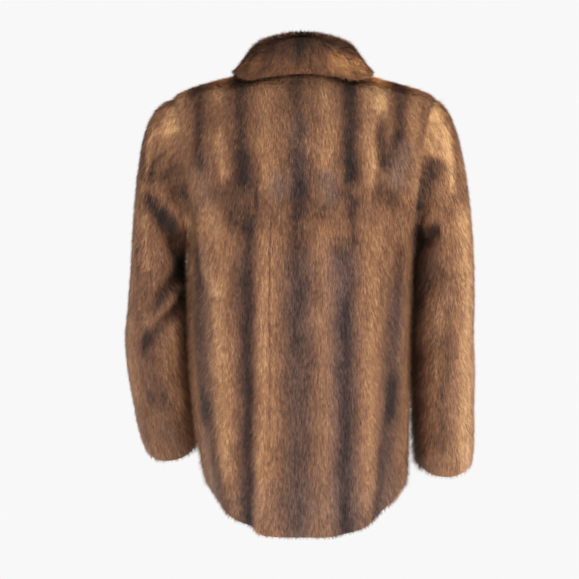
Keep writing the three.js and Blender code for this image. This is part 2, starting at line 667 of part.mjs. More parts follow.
function collarGrids() {
  const seam = neckSeam();
  const n = seam.length;
  const paths = seam.map((s, i) => {
    const along = seam[Math.min(n - 1, i + 1)].outer.clone().sub(seam[Math.max(0, i - 1)].outer);
    const leave = s.normal.clone().cross(along).negate().normalize();
    s.leave = leave;
    return collarPath(s.outer, inwards(s).addScaledVector(leave, SEAM_GAP), leave, s.turn);
  });
  const rows = [];
  for (let r = 1; r <= COLLAR_STAND_ROWS; r++) rows.push(r / COLLAR_STAND_ROWS);
  for (let r = 1; r <= COLLAR_FALL_ROWS; r++) rows.push(1 + r / COLLAR_FALL_ROWS);
  const shown = [paths.map((p) => p.inner)];
  const under = [seam.map((s) => s.outer.clone().addScaledVector(s.leave, SEAM_GAP))];
  for (const row of rows) {
    shown.push(paths.map((p) => collarSurface(p, row)));
    const thickness = lerp(COLLAR_WALL, COLLAR_EDGE_WALL, clamp01(row - 1));
    under.push(
      paths.map((p, c) => {
        const [before, after] = [paths[Math.max(0, c - 1)], paths[Math.min(n - 1, c + 1)]];
        const round = collarSurface(after, row).sub(collarSurface(before, row));
        const [r0, r1] = [Math.max(0, row - ROW_NUDGE), Math.min(2, row + ROW_NUDGE)];
        const over = collarSurface(p, r1).sub(collarSurface(p, r0));
        const normal = over.cross(round).normalize();
        return collarSurface(p, row).addScaledVector(normal, thickness);
      }),
    );
  }
  return [shown, under];
}

function piece(name, geometry, look) {
  const mesh = new THREE.Mesh(geometry, new THREE.MeshStandardMaterial(look));
  mesh.name = name;
  return mesh;
}

const coat = new THREE.Group();
coat.add(piece("back", wall(...grids(backPairs()), false), MATERIALS.fur));
coat.add(piece("front_left", wall(...grids(frontPairs(1)), false), MATERIALS.fur));
coat.add(piece("front_right", wall(...grids(frontPairs(-1)), false), MATERIALS.fur));
coat.add(piece("sleeve_left", wall(...grids(sleevePairs("left")), true), MATERIALS.sleeveFur));
coat.add(piece("sleeve_right", wall(...grids(sleevePairs("right")), true), MATERIALS.sleeveFur));
coat.add(piece("collar", wall(...collarGrids(), false), MATERIALS.collarFur));

export default coat;
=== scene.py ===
"""Looks of a woman's short mink coat, filled out as when worn.

The frame's solids give each piece its place. Here each one becomes a thin pelt with its pile on it. The
form is worked out in millimetres from the same sizes as the solids, and every mesh is made in metres. +Z is
up, the front faces -Y, the wearer's left is +X, and the origin is at the base of the neck.
"""
import math

import bpy
import numpy as np
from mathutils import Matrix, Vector


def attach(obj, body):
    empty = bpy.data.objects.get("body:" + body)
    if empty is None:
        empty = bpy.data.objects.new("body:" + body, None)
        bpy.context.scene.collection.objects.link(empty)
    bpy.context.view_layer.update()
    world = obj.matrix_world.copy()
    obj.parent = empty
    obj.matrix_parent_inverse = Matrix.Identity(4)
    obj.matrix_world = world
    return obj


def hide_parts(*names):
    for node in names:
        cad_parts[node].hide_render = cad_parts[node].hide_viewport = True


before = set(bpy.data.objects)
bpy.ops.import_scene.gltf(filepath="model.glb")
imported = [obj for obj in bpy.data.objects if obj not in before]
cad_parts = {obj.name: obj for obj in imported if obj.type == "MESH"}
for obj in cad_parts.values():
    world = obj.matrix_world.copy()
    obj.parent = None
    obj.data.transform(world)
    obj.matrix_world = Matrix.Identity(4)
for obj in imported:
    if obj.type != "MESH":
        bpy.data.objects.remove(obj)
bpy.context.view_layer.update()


def table(columns, rows):
    """Rows of numbers as a list in which each number has its column's name."""
    return [dict(zip(columns.split(), row)) for row in rows]


MM = 0.001

# The camera stands behind the coat, at the photo's distance and height
CAMERA_PLACE = (0.021, 1.9, -0.327)
VIEW_WIDTH = 0.903
SENSOR = 36.0

# Columns of a soft line between two ends, such as a fold or a stripe
LINE = "across0 z0 across1 z1 width height"

# Form of the body: one row for each level, as half-widths and depths from the vertical axis
BODY_LEVELS = table("z left right back front power", [
    (-720, 138, 150, 141, 134, 2.3),
    (-650, 144, 156, 138, 135, 2.3),
    (-607, 154, 161, 136, 136, 2.3),
    (-548, 165, 163, 132, 137, 2.3),
    (-500, 170, 164, 128, 136, 2.3),
    (-450, 175, 164, 124, 134, 2.3),
    (-395, 178, 166, 120, 135, 2.3),
    (-310, 179, 168, 120, 139, 2.3),
    (-255, 179, 172, 121, 141, 2.3),
    (-180, 188, 186, 123, 138, 2.4),
    (-110, 197, 196, 120, 122, 2.4),
    (-60, 201, 203, 108, 100, 2.3),
    (-27, 199, 202, 92, 80, 2.2),
    (-15, 176, 172, 83, 70, 2.2),
    (-6, 146, 140, 75, 62, 2.1),
    (3, 111, 108, 68, 56, 2.1),
    (13, 70, 70, 60, 50, 2),
    (24, 60, 60, 54, 44, 2),
])

# Levels of the pattern's corners, at the side or shoulder line and at the centre back and centre front
HEM = {"side": -631, "back": -690, "front": -652}
ARMPIT = {"side": -255, "back": -255, "front": -255}
SHOULDER_TIP = {"side": -27, "back": -22, "front": -112}
NECK = {"side": 13, "back": 16, "front": -57}
FRONT_NECK = {"half_width": 70, "depth": 96}
ARMHOLE_WIDTH = {"back": 56, "front": 54}
ARMHOLE_POWER = 2.1
HEM_FLAT = 0.12
HEM_CURVE = 2.1
STEADY_SHARE = 0.55

# Folds of the body. across is the distance from the centre back along the cloth, more to the wearer's left
BODY_FOLDS = table(LINE, [
    (58, -195, 66, -900, 16, 9),
    (86, -185, 90, -900, 14, -9),
    (130, -280, 122, -900, 20, 5),
    (4, -230, 4, -900, 20, -3),
    (-62, -250, -62, -900, 17, -5),
    (-95, -240, -92, -900, 19, 4),
    (-142, -230, -132, -900, 20, -5),
    (176, -130, 156, -330, 13, 6),
    (196, -180, 178, -350, 12, -5),
    (-180, -140, -164, -320, 14, 5),
    (290, -230, 298, -900, 24, -5),
    (342, -260, 350, -900, 24, 6),
    (394, -300, 396, -900, 22, -5),
    (-280, -250, -288, -900, 24, -5),
    (-334, -230, -342, -900, 24, 6),
    (-388, -320, -390, -900, 22, -4),
])
FOLD_FADE = 0.22

# Sleeves: centre, half-widths and lean of each section below the cap, and folds in degrees round the sleeve
SLEEVES = {
    "left": {
        "side": 1, "cap_start": 58, "cap_end": 178,
        "sections": table("x y z across deep forward outward", [
            (227, -14, -300, 45, 62, 0, 3),
            (228, -14, -350, 47.5, 61, 3, 2),
            (229.5, -16, -400, 51, 60, 9, 0),
            (227, -26, -450, 51, 58, 15, -3),
            (221, -43, -500, 50.5, 55, 19, -5),
            (216.5, -60, -545, 48.5, 51, 21, -6),
            (213, -71, -572, 44.5, 49, 22, -6),
            (210.5, -77, -587, 41, 47, 22, -6),
        ]),
        "folds": table("around0 z0 around1 z1 width height", [
            (40, -170, 185, -300, 15, -10),
            (60, -150, 158, -246, 14, 6),
            (195, -262, 66, -372, 15, -10),
            (158, -320, 66, -398, 13, 5),
            (180, -318, 44, -430, 14, -9),
            (150, -395, 30, -450, 16, 4),
            (110, -480, 48, -528, 16, -5),
            (10, -112, 72, -170, 12, -5),
            (310, -290, 205, -400, 16, -8),
            (320, -230, 210, -320, 16, -6),
        ]),
    },
    "right": {
        "side": -1, "cap_start": 46, "cap_end": 125,
        "sections": table("x y z across deep forward outward", [
            (221, -14, -300, 49.5, 62, 0, 2),
            (220.5, -14, -350, 50, 61, 3, 1),
            (219.5, -16, -400, 50.5, 60, 8, 0),
            (221, -24, -455, 52, 58, 14, 1),
            (224, -38, -510, 50, 55, 18, 2),
            (227.5, -53, -560, 49, 52, 21, 2),
            (229.5, -65, -593, 47, 50, 23, 2),
            (230, -71, -610, 44, 48, 24, 2),
        ]),
        "folds": table("around0 z0 around1 z1 width height", [
            (60, -110, 185, -240, 15, -9),
            (90, -232, 200, -268, 13, -8),
            (80, -196, 150, -246, 12, 5),
            (95, -290, 175, -360, 16, -5),
            (70, -385, 170, -450, 18, -4),
            (320, -240, 210, -330, 16, -6),
            (310, -330, 205, -420, 16, -8),
        ]),
    },
}
SLEEVE_RADIUS = 54
CAP_UNDER = {"start": 32, "end": 40}
CAP_OUTWARDS = {"share": 0.9, "drop": 0.1}

# Collar, from the centre back at away 0 through the shoulder line at 1 to the centre front at 2
COLLAR_FORM = table("away roll x y lift", [
    (0, 48, 0, 77, 0),
    (0.25, 47.5, 38, 78, 0),
    (0.5, 46, 76, 78, 0),
    (0.7, 45, 96, 68, 0),
    (0.85, 43.5, 103, 45, 0),
    (1, 42, 105, 12, 0),
    (1.2, 38, 106, -22, 2),
    (1.4, 34, 105, -50, 5),
    (1.7, 28, 98, -88, 8),
    (2, 22, 82, -120, 10),
])
COLLAR_ENDS_AT = 1.95
COLLAR_EDGE_RISE = 7.5
ROLL_INSET = 6
ROLL_PULL = 15
STAND_PULL = 0.45
EDGE_PULL = 24

# Pelt and pile. The solids' outer face is where the pile ends and their inner face is the pelt's inside
WALL = 9
SKIN_DEPTH = 5.5
SEAM_GAP = 0.3
ARMHOLE_GAP = 0.5

# Rows and columns of the grids that the pelts and their pile are made on
HEM_ROWS = 56
ARMHOLE_ROWS = 30
SHOULDER_ROWS = 12
BACK_COLUMNS = 76
FRONT_COLUMNS = 38
SLEEVE_CAP_ROWS = 22
SLEEVE_ROWS = 44
COLLAR_STAND_ROWS = 8
COLLAR_FALL_ROWS = 12


def ease(t):
    t = np.clip(t, 0, 1)
    return t * t * (3 - 2 * t)


def lerp(a, b, t):
    return a + (b - a) * t


def unit(v):
    return v / np.maximum(np.linalg.norm(v, axis=-1, keepdims=True), 1e-12)


def read_table(rows, key, column, value):
    """One column of a table at values of its key, by a cubic through the rows."""
    keys = np.array([row[key] for row in rows], float)
    data = np.array([row[column] for row in rows], float)
    if keys[-1] < keys[0]:
        keys, data = keys[::-1], data[::-1]
    before = np.concatenate([[0], np.arange(len(keys) - 1)])
    after = np.concatenate([np.arange(1, len(keys)), [len(keys) - 1]])
    slope = (data[after] - data[before]) / (keys[after] - keys[before])
    i = np.clip(np.searchsorted(keys, value, side="right") - 1, 0, len(keys) - 2)
    span = keys[i + 1] - keys[i]
    t = np.clip((value - keys[i]) / span, 0, 1)
    start = (2 * t**3 - 3 * t**2 + 1) * data[i] + (t**3 - 2 * t**2 + t) * span * slope[i]
    end = (3 * t**2 - 2 * t**3) * data[i + 1] + (t**3 - t**2) * span * slope[i + 1]
    return start + end


def lines_at(lines, across, z, fade=FOLD_FADE):
    """Sum of soft lines, such as folds or stripes, each between two ends."""
    total = np.zeros(np.broadcast(across, z).shape)
    for f in lines:
        dx, dz = f["across1"] - f["across0"], f["z1"] - f["z0"]
        along = ((across - f["across0"]) * dx + (z - f["z0"]) * dz) / (dx * dx + dz * dz)
        off = ((across - f["across0"]) * dz - (z - f["z0"]) * dx) / math.hypot(dx, dz)
        shown = ease(along / fade) * ease((1 - along) / fade)
        total += f["height"] * shown * np.exp(-((off / f["width"]) ** 2))
    return total


ARC_STEPS = 40


def quarter(half_width, depth, power, share):
    """A quarter of a superellipse by equal arc length, from share 0 at the middle line to 1 at the side."""
    half_width, depth, power, share = np.broadcast_arrays(half_width, depth, power, share)
    angle = np.linspace(0, math.pi / 2, ARC_STEPS + 1)
    angle[-1] -= 1e-9
    e = 2 / power[..., None]
    x = half_width[..., None] * np.sin(angle) ** e
    y = depth[..., None] * np.cos(angle) ** e
    lengths = np.concatenate(
        [np.zeros(x.shape[:-1] + (1,)), np.cumsum(np.hypot(np.diff(x), np.diff(y)), -1)], -1
    )
    total = lengths[..., -1]
    wanted = np.clip(share, 0, 1) * total
    i = np.clip((lengths < wanted[..., None]).sum(-1) - 1, 0, ARC_STEPS - 1)
    low = np.take_along_axis(lengths, i[..., None], -1)[..., 0]
    high = np.take_along_axis(lengths, i[..., None] + 1, -1)[..., 0]
    t = np.clip((i + (wanted - low) / (high - low)) / ARC_STEPS * math.pi / 2, 0, math.pi / 2 - 1e-9)
    return half_width * np.sin(t) ** (2 / power), depth * np.cos(t) ** (2 / power), total


def body_form(turn, z):
    """Point of the body's form before folds, and its distance across from the centre back.
    turn is 0 at the centre back, 1 at the left side, 2 at the centre front, and negative on the right."""
    turn, z = np.broadcast_arrays(np.asarray(turn, float), np.asarray(z, float))
    level = lambda name: read_table(BODY_LEVELS, "z", name, z)
    side = np.where(turn < 0, -1.0, 1.0)
    away = np.abs(turn)
    half_width = np.where(side > 0, level("left"), level("right"))
    power = level("power")
    in_front = away > 1
    depth = np.where(in_front, level("front"), level("back"))
    x, y, total = quarter(half_width, depth, power, np.where(in_front, 2 - away, away))
    back_total = quarter(half_width, level("back"), power, 1.0)[2]
    across = np.where(in_front, back_total + (away - 1) * total, away * total)
    return np.stack([side * x, np.where(in_front, -y, y), z], -1), side * across


PLACE_SEARCH_STEPS = 40
LOWEST_PLACE = -200


def turn_under(x, y, side):
    """Place on the body's form under points of the plan."""
    x, y = np.broadcast_arrays(np.asarray(x, float), np.asarray(y, float))
    low = np.full(x.shape, float(LOWEST_PLACE))
    high = np.full(x.shape, float(BODY_LEVELS[-1]["z"]))
    for _ in range(PLACE_SEARCH_STEPS):
        middle = (low + high) / 2
        level = lambda name: read_table(BODY_LEVELS, "z", name, middle)
        power = level("power")
        wide = level("left") if side > 0 else level("right")
        deep = np.where(y < 0, level("front"), level("back"))
        inside = (np.abs(x) / wide) ** power + (np.abs(y) / deep) ** power < 1
        low, high = np.where(inside, middle, low), np.where(inside, high, middle)
    z = (low + high) / 2
    near = np.where(y < 0, 1.0, 0.0)
    far = near + 1
    for _ in range(PLACE_SEARCH_STEPS):
        middle = (near + far) / 2
        within = np.abs(body_form(side * middle, z)[0][..., 0]) < x
        over = within == (y < 0)
        near, far = np.where(over, near, middle), np.where(over, middle, far)
    return side * (near + far) / 2, z


TURN_NUDGE = 1e-3
LEVEL_NUDGE = 0.1


def body_normal(surface, turn, z):
    """Outward normal of the body, from points close by on the same side of the middle and side lines."""
    first = np.where(np.abs(turn) > 1, 1.0, 0.0)
    low = np.where(turn < 0, -(first + 1), first)
    u0 = np.maximum(low, turn - TURN_NUDGE)
    u1 = np.minimum(low + 1, turn + TURN_NUDGE)
    du = surface(u1, z) - surface(u0, z)
    dz = surface(turn, z + LEVEL_NUDGE) - surface(turn, z - LEVEL_NUDGE)
    return unit(np.cross(dz, du))


def body_surface(turn, z):
    point, across = body_form(turn, z)
    height = lines_at(BODY_FOLDS, across, z)
    normal = body_normal(lambda u, v: body_form(u, v)[0], turn, z)
    return point + normal * height[..., None]


def body_pair(turn, z):
    """The body's outer point and the wall's normal there."""
    return body_surface(turn, z), body_normal(body_surface, turn, z)


def panel_rows():
    """Rows of a panel from the hem up: a stretch of the pattern, its share, and if the armhole cuts it."""
    rows = [(HEM, ARMPIT, i / HEM_ROWS, False) for i in range(HEM_ROWS)]
    for i in range(ARMHOLE_ROWS):
        share = (1 - math.cos(math.pi * i / ARMHOLE_ROWS)) / 2
        rows.append((ARMPIT, SHOULDER_TIP, share, i > 0))
    rows += [(SHOULDER_TIP, NECK, i / SHOULDER_ROWS, False) for i in range(SHOULDER_ROWS + 1)]
    return rows


def row_level(row, away, half):
    start, end, share, _ = row
    side = lerp(start["side"], end["side"], share)
    centre = lerp(start[half], end[half], share)
    centre_share = ease(1 - away)
    if start is HEM:
        turned = np.clip((away - HEM_FLAT) / (1 - HEM_FLAT), 0, 1)
        centre_share = lerp(1 - np.sin(math.pi / 2 * turned) ** HEM_CURVE, ease(1 - away), share)
    return lerp(side, centre, centre_share)


def row_place(row, away, half, side):
    """Turn and level of points of a row. Above the armhole a front runs up to its neckline in plan."""
    away = np.asarray(away, float)
    if half == "back":
        return side * away, row_level(row, away, half)
    if row[1] is not NECK:
        return side * (2 - away), row_level(row, away, half)
    start = row_level((SHOULDER_TIP, NECK, 0, False), away, half)
    angle = (1 - away) * math.pi / 2
    turn, z = turn_under(
        FRONT_NECK["half_width"] * np.cos(angle), -FRONT_NECK["depth"] * np.sin(angle), side
    )
    return lerp(side * (2 - away), turn, row[2]), lerp(start, z, row[2])


EDGE_SEARCH_STEPS = 30


def row_end(row, side, half):
    """How far from the centre a row ends: at the side line, or at the armhole's edge."""
    if not row[3]:
        return 1.0
    z = row_level(row, 1.0, half)
    middle = (ARMPIT["side"] + SHOULDER_TIP["side"]) / 2
    share = min(1, abs(z - middle) / ((SHOULDER_TIP["side"] - ARMPIT["side"]) / 2))
    wanted = ARMHOLE_WIDTH[half] * (1 - share**ARMHOLE_POWER) ** (1 / ARMHOLE_POWER)
    low, high = 0.0, 1.0
    for _ in range(EDGE_SEARCH_STEPS):
        away = (low + high) / 2
        turn = side * (2 - away if half == "front" else away)
        y = abs(body_form(turn, row_level(row, away, half))[0][1])
        low, high = (away, high) if y > wanted else (low, away)
    return (low + high) / 2


def column_place(share, edge):
    """Columns near the centre keep their place, and only those beyond make room for the armhole."""
    beyond = (share - STEADY_SHARE) / (1 - STEADY_SHARE)
    return np.where(share <= STEADY_SHARE, share, lerp(STEADY_SHARE, edge, beyond))


def turn_of_gap(z, side):
    return SEAM_GAP / 2 / abs(body_form(float(side), z)[1])


def body_grid(half, side=0):
    """Points of a panel from the neck down, in columns of rising turn. The back has both sides, as side 0."""
    points, across, levels = [], [], []
    for row in reversed(panel_rows()):
        edge = {s: row_end(row, s, half) for s in ((-1, 1) if side == 0 else (side,))}
        gap = {s: turn_of_gap(row_level(row, 1.0, half), s) for s in edge}
        if side == 0:
            share = np.linspace(-1, 1, BACK_COLUMNS + 1)
            signs = np.where(share < 0, -1, 1)
            away = np.where(
                share < 0,
                column_place(np.abs(share), edge[-1] - gap[-1]),
                column_place(np.abs(share), edge[1] - gap[1]),
            )
            turn, z = row_place(row, away, "back", signs)
        else:
            share = np.linspace(1, 0, FRONT_COLUMNS + 1)[::side]
            away = np.maximum(gap[side], column_place(share, edge[side] - gap[side]))
            turn, z = row_place(row, away, "front", side)
        points.append(body_surface(turn, z))
        across.append(body_form(turn, z)[1])
        levels.append(z)
    return np.array(points), np.array(across), np.array(levels)


def armhole_edge(side):
    """The armhole's edge from the shoulder tip down the back to the armpit and up the front."""
    rows = panel_rows()
    tip = HEM_ROWS + ARMHOLE_ROWS
    places = []
    for r in range(tip, HEM_ROWS - 1, -1):
        places.append(row_place(rows[r], row_end(rows[r], side, "back"), "back", side))
    for r in range(HEM_ROWS + 1, tip):
        places.append(row_place(rows[r], row_end(rows[r], side, "front"), "front", side))
    turn = np.array([float(p[0]) for p in places])
    z = np.array([float(p[1]) for p in places])
    return body_pair(turn, z)


def bezier(a, b, c, d, t):
    return (1 - t) ** 3 * a + 3 * (1 - t) ** 2 * t * b + 3 * (1 - t) * t**2 * c + t**3 * d


def sleeve_section(sleeve, z):
    read = lambda name: read_table(sleeve["sections"], "z", name, z)
    side = sleeve["side"]
    forward, outward = np.radians(read("forward")), np.radians(read("outward"))
    zero = np.zeros_like(forward)
    centre = np.stack([side * read("x"), read("y"), z], -1)
    across = np.stack([side * np.cos(outward), zero, np.sin(outward)], -1) * read("across")[..., None]
    deep = np.stack([zero, np.cos(forward), -np.sin(forward)], -1) * read("deep")[..., None]
    down = unit(np.stack([side * np.sin(outward), -np.sin(forward), zero - 1], -1))
    return centre, across, deep, down


def section_point(section, around):
    centre, across, deep, _ = section
    return centre + across * np.cos(around)[..., None] + deep * np.sin(around)[..., None]


def sleeve_grid(name):
    """Points of a sleeve from the armhole down, closed around, with the angle round it of each column."""
    sleeve = SLEEVES[name]
    side = sleeve["side"]
    edge, normal = armhole_edge(side)
    n = len(edge)
    along = np.roll(edge, -2, 0) - np.roll(edge, 2, 0)
    leave = unit(np.cross(normal, along) * -side)
    topness = np.maximum(0, np.cos(2 * math.pi * np.arange(n) / n)) ** 1.5
    out = unit(np.array([side, 0, -CAP_OUTWARDS["drop"]], float))
    heading = unit(lerp(leave, out, (topness * CAP_OUTWARDS["share"])[:, None]))
    steps = np.linalg.norm(np.roll(edge, -1, 0) - edge, axis=1)
    lengths = np.concatenate([[0], np.cumsum(steps)])
    underarm = n // 2
    back, front = lengths[underarm], lengths[n] - lengths[underarm]
    i = np.arange(n)
    around = math.pi * np.where(
        i <= underarm, lengths[:n] / back, 1 + (lengths[:n] - back) / front
    )
    top, bottom = sleeve["sections"][0]["z"], sleeve["sections"][-1]["z"]
    first = sleeve_section(sleeve, np.full(n, float(top)))
    to = section_point(first, around)
    under = ease((1 - np.cos(around)) / 2)
    p1 = edge + heading * lerp(sleeve["cap_start"], CAP_UNDER["start"], under)[:, None]
    p2 = to - first[3] * lerp(sleeve["cap_end"], CAP_UNDER["end"], under)[:, None]
    rows = [edge + leave * ARMHOLE_GAP]
    fades = [0.0]
    for r in range(1, SLEEVE_CAP_ROWS + 1):
        share = r / SLEEVE_CAP_ROWS
        rows.append(bezier(edge, p1, p2, to, share))
        fades.append(float(ease((share - 0.2) * 2.5)))
    for r in range(1, SLEEVE_ROWS + 1):
        z = np.full(n, lerp(top, bottom, r / SLEEVE_ROWS))
        rows.append(section_point(sleeve_section(sleeve, z), around))
        fades.append(1.0)
    base = np.array(rows)
    folds = sleeve_lines(sleeve["folds"])
    height = lines_at(folds, around[None, :] * SLEEVE_RADIUS, base[..., 2]) * np.array(fades)[:, None]
    points = base + grid_normals(base, -side, True) * height[..., None]
    return points, np.broadcast_to(around, points.shape[:2])


def grid_normals(points, sign, closed):
    """Outward normals of a grid of points, whose rows run down and whose columns run round."""
    if closed:
        round_ = np.roll(points, -1, 1) - np.roll(points, 1, 1)
    else:
        round_ = np.gradient(points, axis=1)
    return unit(np.cross(round_, np.gradient(points, axis=0)) * sign)


def collar_grid():
    """Points of the collar's shown side, from the seam up the stand, over the roll and down the fall."""
    top = (SHOULDER_TIP, NECK, 1.0, False)
    turns = np.concatenate(
        [
            np.linspace(-COLLAR_ENDS_AT, -1, FRONT_COLUMNS + 1),
            np.linspace(-1, 1, BACK_COLUMNS + 1)[1:-1],
            np.linspace(1, COLLAR_ENDS_AT, FRONT_COLUMNS + 1),
        ]
    )
    seam_turn, seam_z = np.empty_like(turns), np.empty_like(turns)
    for k, turn in enumerate(turns):
        half = "back" if abs(turn) < 1 else "front"
        away = abs(turn) if half == "back" else 2 - abs(turn)
        seam_turn[k], seam_z[k] = row_place(top, away, half, -1 if turn < 0 else 1)
    seam, normal = body_pair(seam_turn, seam_z)
    leave = unit(-np.cross(normal, np.gradient(seam, axis=0)))
    foot = seam - normal * WALL + leave * SEAM_GAP
    away = np.abs(turns)
    form = {name: read_table(COLLAR_FORM, "away", name, away) for name in ("roll", "x", "y", "lift")}
    place = np.empty((len(turns), 2))
    for side in (-1, 1):
        chosen = (turns < 0) == (side < 0)
        turn, z = turn_under(form["x"][chosen], form["y"][chosen], side)
        place[chosen] = np.stack([turn, z], -1)
    on_body, up_from_body = body_pair(place[:, 0], place[:, 1])
    edge = on_body + up_from_body * COLLAR_EDGE_RISE
    out = -unit(leave * np.array([1, 1, 0]))
    apex = seam - out * ROLL_INSET + np.stack([0 * away, 0 * away, form["roll"]], -1)
    lift = up_from_body * form["lift"][:, None]
    slope = unit(edge - apex)
    up = np.array([0, 0, 1.0])
    rows, shares = [], []
    for r in range(COLLAR_STAND_ROWS + 1):
        t = r / COLLAR_STAND_ROWS
        over_foot = foot + up * (form["roll"] * STAND_PULL)[:, None]
        rows.append(bezier(foot, over_foot, apex - out * ROLL_PULL, apex, t))
        shares.append(t)
    for r in range(1, COLLAR_FALL_ROWS + 1):
        t = r / COLLAR_FALL_ROWS
        rows.append(bezier(apex, apex + out * ROLL_PULL + lift, edge - slope * EDGE_PULL + lift, edge, t))
        shares.append(1 + t)
    return np.array(rows), turns, np.array(shares)


# Tone of the pile from 0, the darkest, to 1, the lightest, as soft lines with across and z in millimetres:
# the pelts' stripes, and painted light and shade.
# The pelts run down, each with a dark middle. Those of the upper back end in soft points below the shoulder
# blades
BODY_TONE = 0.53
# Most lines are the pelts' own stripes; those noted below are painted light and shade
BACK_STRIPES_AND_PAINTED_LIGHT = table(LINE, [
    (97, 25, 90, -185, 13, -0.32),
    (93, -120, 84, -250, 19, -0.18),
    (118, -160, 111, -240, 14, -0.2),
    (67, -145, 71, -218, 4, -0.2),
    (54, 15, 55, -185, 14, 0.14),
    (9, 30, 8, -235, 12, -0.24),
    (4, -120, 9, -260, 22, -0.12),
    (-38, 15, -33, -160, 13, 0.15),
    (-72, 20, -69, -180, 12, -0.42),
    (-66, -130, -66, -232, 16, -0.13),
    (-72, -188, -75, -268, 6, -0.22),
    (-98, 20, -96, -185, 12, 0.18),
    (-106, -60, -105, -155, 3.5, 0.16),
    (-116, -80, -118, -152, 8, -0.28),
    (-154, 0, -147, -112, 11, -0.32),
    (-147, -90, -124, -152, 9, -0.24),
    (-178, -5, -178, -112, 14, 0.16),
    (-186, -110, -196, -200, 15, 0.14),
    (-104, -178, -152, -204, 14, -0.18),
    # Painted highlight high on the right shoulder
    (-120, 8, -117, -68, 13, 0.38),
    (128, -85, 126, -178, 9, 0.22),
    (132, 15, 128, -50, 13, 0.22),
    (164, 0, 163, -155, 12, -0.28),
    (196, -10, 200, -95, 11, 0.14),
    (86, -205, 86, -700, 10, -0.28),
    (60, -200, 60, -660, 12, 0.08),
    (44, -215, 44, -560, 8, 0.07),
    (14, -205, 10, -420, 12, -0.11),
    (10, -230, 9, -700, 20, -0.19),
    # Painted highlights along the tops of both shoulders
    (105, 12, 225, -22, 11, 0.24),
    (-105, 12, -225, -22, 11, 0.28),
    (-32, -212, -30, -720, 13, 0.1),
    (-62, -235, -63, -730, 18, -0.22),
    (-64, -320, -62, -740, 7, -0.13),
    (-108, -220, -98, -660, 22, 0.12),
    (-162, -250, -146, -530, 14, -0.2),
    (-150, -450, -110, -700, 13, -0.28),
    (140, -190, 134, -345, 20, 0.15),
    (130, -300, 120, -620, 19, 0.16),
    (108, -285, 105, -395, 10, -0.14),
    # Painted shadow down the left side, where the sleeve shades the body
    (184, -250, 168, -540, 17, -0.24),
    (168, -480, 122, -680, 13, -0.22),
    (222, -240, 214, -700, 16, 0.08),
    (-206, -240, -196, -700, 18, 0.08),
])
FRONT_STRIPES = table(LINE, [
    (240, 0, 246, -800, 15, -0.22),
    (304, 0, 302, -800, 17, -0.3),
    (366, -20, 372, -800, 16, -0.26),
    (434, -60, 440, -800, 16, -0.28),
    (271, -10, 274, -780, 14, 0.12),
    (336, -10, 338, -780, 15, 0.18),
    (402, -40, 406, -780, 15, 0.13),
    (-236, 0, -230, -800, 15, -0.24),
    (-298, 0, -296, -800, 17, -0.3),
    (-360, -20, -364, -800, 17, -0.26),
    (-426, -60, -432, -800, 16, -0.29),
    (-266, -10, -262, -780, 15, 0.14),
    (-328, -10, -330, -780, 14, 0.13),
    (-394, -40, -398, -780, 15, 0.16),
])
# Where the pile is greyer, as lines of the same kind
COOL_LINES = table(LINE, [
    (9, -60, 7, -200, 14, 0.5),
    (8, -250, 8, -900, 24, 0.6),
    (-56, -240, -62, -900, 22, 0.85),
    (88, -240, 88, -900, 16, 0.4),
    (172, -240, 158, -900, 24, 0.5),
    (-160, -300, -112, -900, 24, 0.55),
    (44, -158, 30, -196, 15, 0.7),
    (-32, -150, -42, -205, 14, 0.7),
    (-160, -105, -140, -180, 17, 0.75),
    (165, -120, 150, -215, 18, 0.4),
    (-480, -650, 480, -650, 50, 0.3),
])
STRIPE_FADE = 0.08
JOIN = {"level": -199, "point": 20, "step": 70, "first": 8, "half_height": 13, "shade": 0.08, "end": 225}
PARTING = {"across": 49, "top": -215, "top_fade": 25, "bottom": -600, "bottom_fade": 180}
PARTING_LINE = {"width": 1.3, "depth": 0.26}
FRONT_EDGE = {"width": 3.5, "depth": 0.3}
# Painted light and shade of the folds, in tone per millimetre of fold height
BODY_FOLD_SHADE = 0.012

# Base tone of each sleeve; the right one is set lighter as painted light, for the light falls from the right
SLEEVE_TONE_WITH_PAINTED_LIGHT = {"left": 0.49, "right": 0.6}
